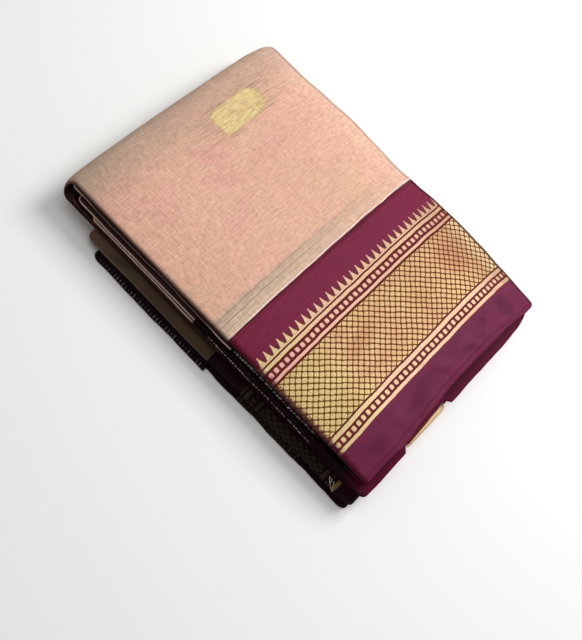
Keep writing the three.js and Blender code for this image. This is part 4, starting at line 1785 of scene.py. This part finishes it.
FINISHES = {
    Cloth.BODY: SilkCottonBody("peach silk cotton", figured=True),
    # The inner edges are darker copies of the peach body, as painted shade on the packet's shaded side.
    Cloth.PALE_EDGE: SilkCottonBody("peach silk cotton, inner edges", thread="#b4968a", pink="#a8857a",
                                    gold="#ad9684", inside="#2a130e"),
    # A copy in painted shade where its edge lies under the top panel's roll.
    Cloth.HIDDEN_EDGE: SilkCottonBody("peach silk cotton, hidden edge", thread="#b4968a", pink="#a8857a",
                                      gold="#ad9684", inside="#2a130e", hidden="#5e4740"),
    Cloth.PACKED: PackedEdges(),
    # The draped bundle is the peach body cloth, its tones darkened to olive-brown as painted shade.
    Cloth.SHADED_BODY: SilkCottonBody("olive-brown silk cotton", thread="#3c2a17", pink="#402a18", gold="#44331c",
                                contrast=0.8, trim=(-156.5, -158.0)),
    Cloth.BORDER: ZariBorder("maroon and gold border", PACKET.join_y, figured=True),
    Cloth.INNER_BORDER: ZariBorder("maroon and gold border, inner fold", 20.0, inside="#17040a", **DASHED),
    Cloth.BUNDLE_BORDER: ZariBorder("maroon and gold border, draped bundle", -12.0, 0.86,
                                    last_band="#6a5534", **SHADED),
    Cloth.LOW_BORDER: ZariBorder("maroon and gold border, lowest bundle", -28.0, 1.36, **SHADED),
    Cloth.STRIPED_TAB: ZariBorder(
        "maroon border with a gold stripe", -12.0, ground="#430c22", ground_light="#4a1028", gold="#bda27c",
        pale="#c4aa88", rose_gold="#bda27c", green_gold="#bda27c", gloss=0.05, slant=0.035,
        stripes=((0.0, "ground"), (166.0, "brown"), (167.3, "gold"), (171.4, "brown"), (175.0, "ground")),
        reach=200.0,
    ),
    Cloth.BAR_BAND: ShadedBarBand(),
}

TRIMS = {Cloth.BAR_BAND: ZariBars(), Cloth.BUNDLE_BORDER: LooseThreads()}


# The studio


@dataclass(frozen=True)
class Studio:
    """Pale floor, soft lights and the camera at the photograph's angle."""

    floor_colour: str = "#f4f3f1"
    floor_size: float = 6.0
    floor_roughness: float = 0.9
    eye: tuple[float, float, float] = (-0.39373, -0.09016, 0.71977)
    forward: tuple[float, float, float] = (0.43144, 0.07153, -0.8993)
    right: tuple[float, float, float] = (0.66604, -0.69762, 0.26405)
    lens: float = 47.8
    sensor: float = 36.0
    lights: tuple[tuple[str, tuple[float, float, float], float, float], ...] = (
        ("key", (1.0, -0.35, 1.15), 20.0, 0.7),
        ("fill", (0.1, 0.0, 1.8), 8.0, 1.2),
    )
    target: tuple[float, float, float] = (0.0, 0.0, 0.03)
    surroundings: str = "#ffffff"
    surround_power: float = 0.3

    def build_floor(self) -> bpy.types.Object:
        """Builds the floor with its pale material.

        Returns:
            The floor's object.
        """
        half = self.floor_size / 2
        mesh = bpy.data.meshes.new("floor")
        mesh.from_pydata([(-half, -half, 0), (half, -half, 0), (half, half, 0), (-half, half, 0)], [],
                         [(0, 1, 2, 3)])
        floor = bpy.data.objects.new("floor", mesh)
        bpy.context.scene.collection.objects.link(floor)
        b = MaterialBoard("pale studio floor")
        shader = b.add("BsdfPrincipled", self.floor_colour, named={"Roughness": self.floor_roughness})
        b.add("OutputMaterial", shader)
        mesh.materials.append(b.material)
        return floor

    def build_lights(self) -> None:
        """Adds the soft lights and the pale surroundings."""
        for name, place, power, size in self.lights:
            lamp = bpy.data.lights.new(name, "AREA")
            lamp.energy = power
            lamp.size = size
            light = bpy.data.objects.new(name, lamp)
            light.location = place
            aim = Vector(self.target) - Vector(place)
            light.rotation_euler = aim.to_track_quat("-Z", "Y").to_euler()
            bpy.context.scene.collection.objects.link(light)
        world = bpy.data.worlds.new("studio")
        bpy.context.scene.world = world
        world.use_nodes = True
        world.node_tree.nodes.clear()
        b = Board(world.node_tree)
        b.add("OutputWorld", b.add("Background", self.surroundings, self.surround_power))

    def build_camera(self) -> None:
        """Sets the camera where the photograph was taken from."""
        camera = bpy.data.cameras.new("camera")
        camera.sensor_fit = "VERTICAL"
        camera.sensor_height = self.sensor
        camera.lens = self.lens
        eye = bpy.data.objects.new("camera", camera)
        forward = Vector(self.forward).normalized()
        side = Vector(self.right)
        side = (side - forward * side.dot(forward)).normalized()
        up = side.cross(forward)
        turn = Matrix((side, up, -forward)).transposed()
        eye.matrix_world = Matrix.Translation(self.eye) @ turn.to_4x4()
        bpy.context.scene.collection.objects.link(eye)
        bpy.context.scene.camera = eye


def dress(part: Layer | TopPanel, materials: dict[Cloth, bpy.types.Material]) -> bpy.types.Object:
    """Builds a stretch of cloth, finishes it, hangs it and its trim under the body, hides its part from
    model.glb and logs its size.

    Args:
        part: the stretch.
        materials: the material of each finish.

    Returns:
        The finished piece.
    """
    piece = part.build()
    piece.data.materials.append(materials[part.cloth])
    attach(piece, BODY)
    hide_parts(part.node)
    trims = []
    if part.cloth in TRIMS:
        trim = TRIMS[part.cloth]
        trims.append(trim.build(part))
        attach(trims[0], BODY)
    part.flat()
    LOG.info("%s: %d faces, cut %.3f by %.3f m", piece.name, len(piece.data.polygons), *part.flat())
    return piece


def main() -> None:
    """Builds the studio and every stretch of the saree."""
    logging.basicConfig(level=logging.INFO, format="%(name)s %(message)s")
    bpy.context.scene.view_settings.view_transform = "Standard"
    studio = Studio()
    studio.build_camera()
    studio.build_floor()
    studio.build_lights()
    materials = {cloth: finish.build() for cloth, finish in FINISHES.items()}
    for part in (*LAYERS, *PANELS):
        dress(part, materials)


if __name__ == "__main__":
    main()
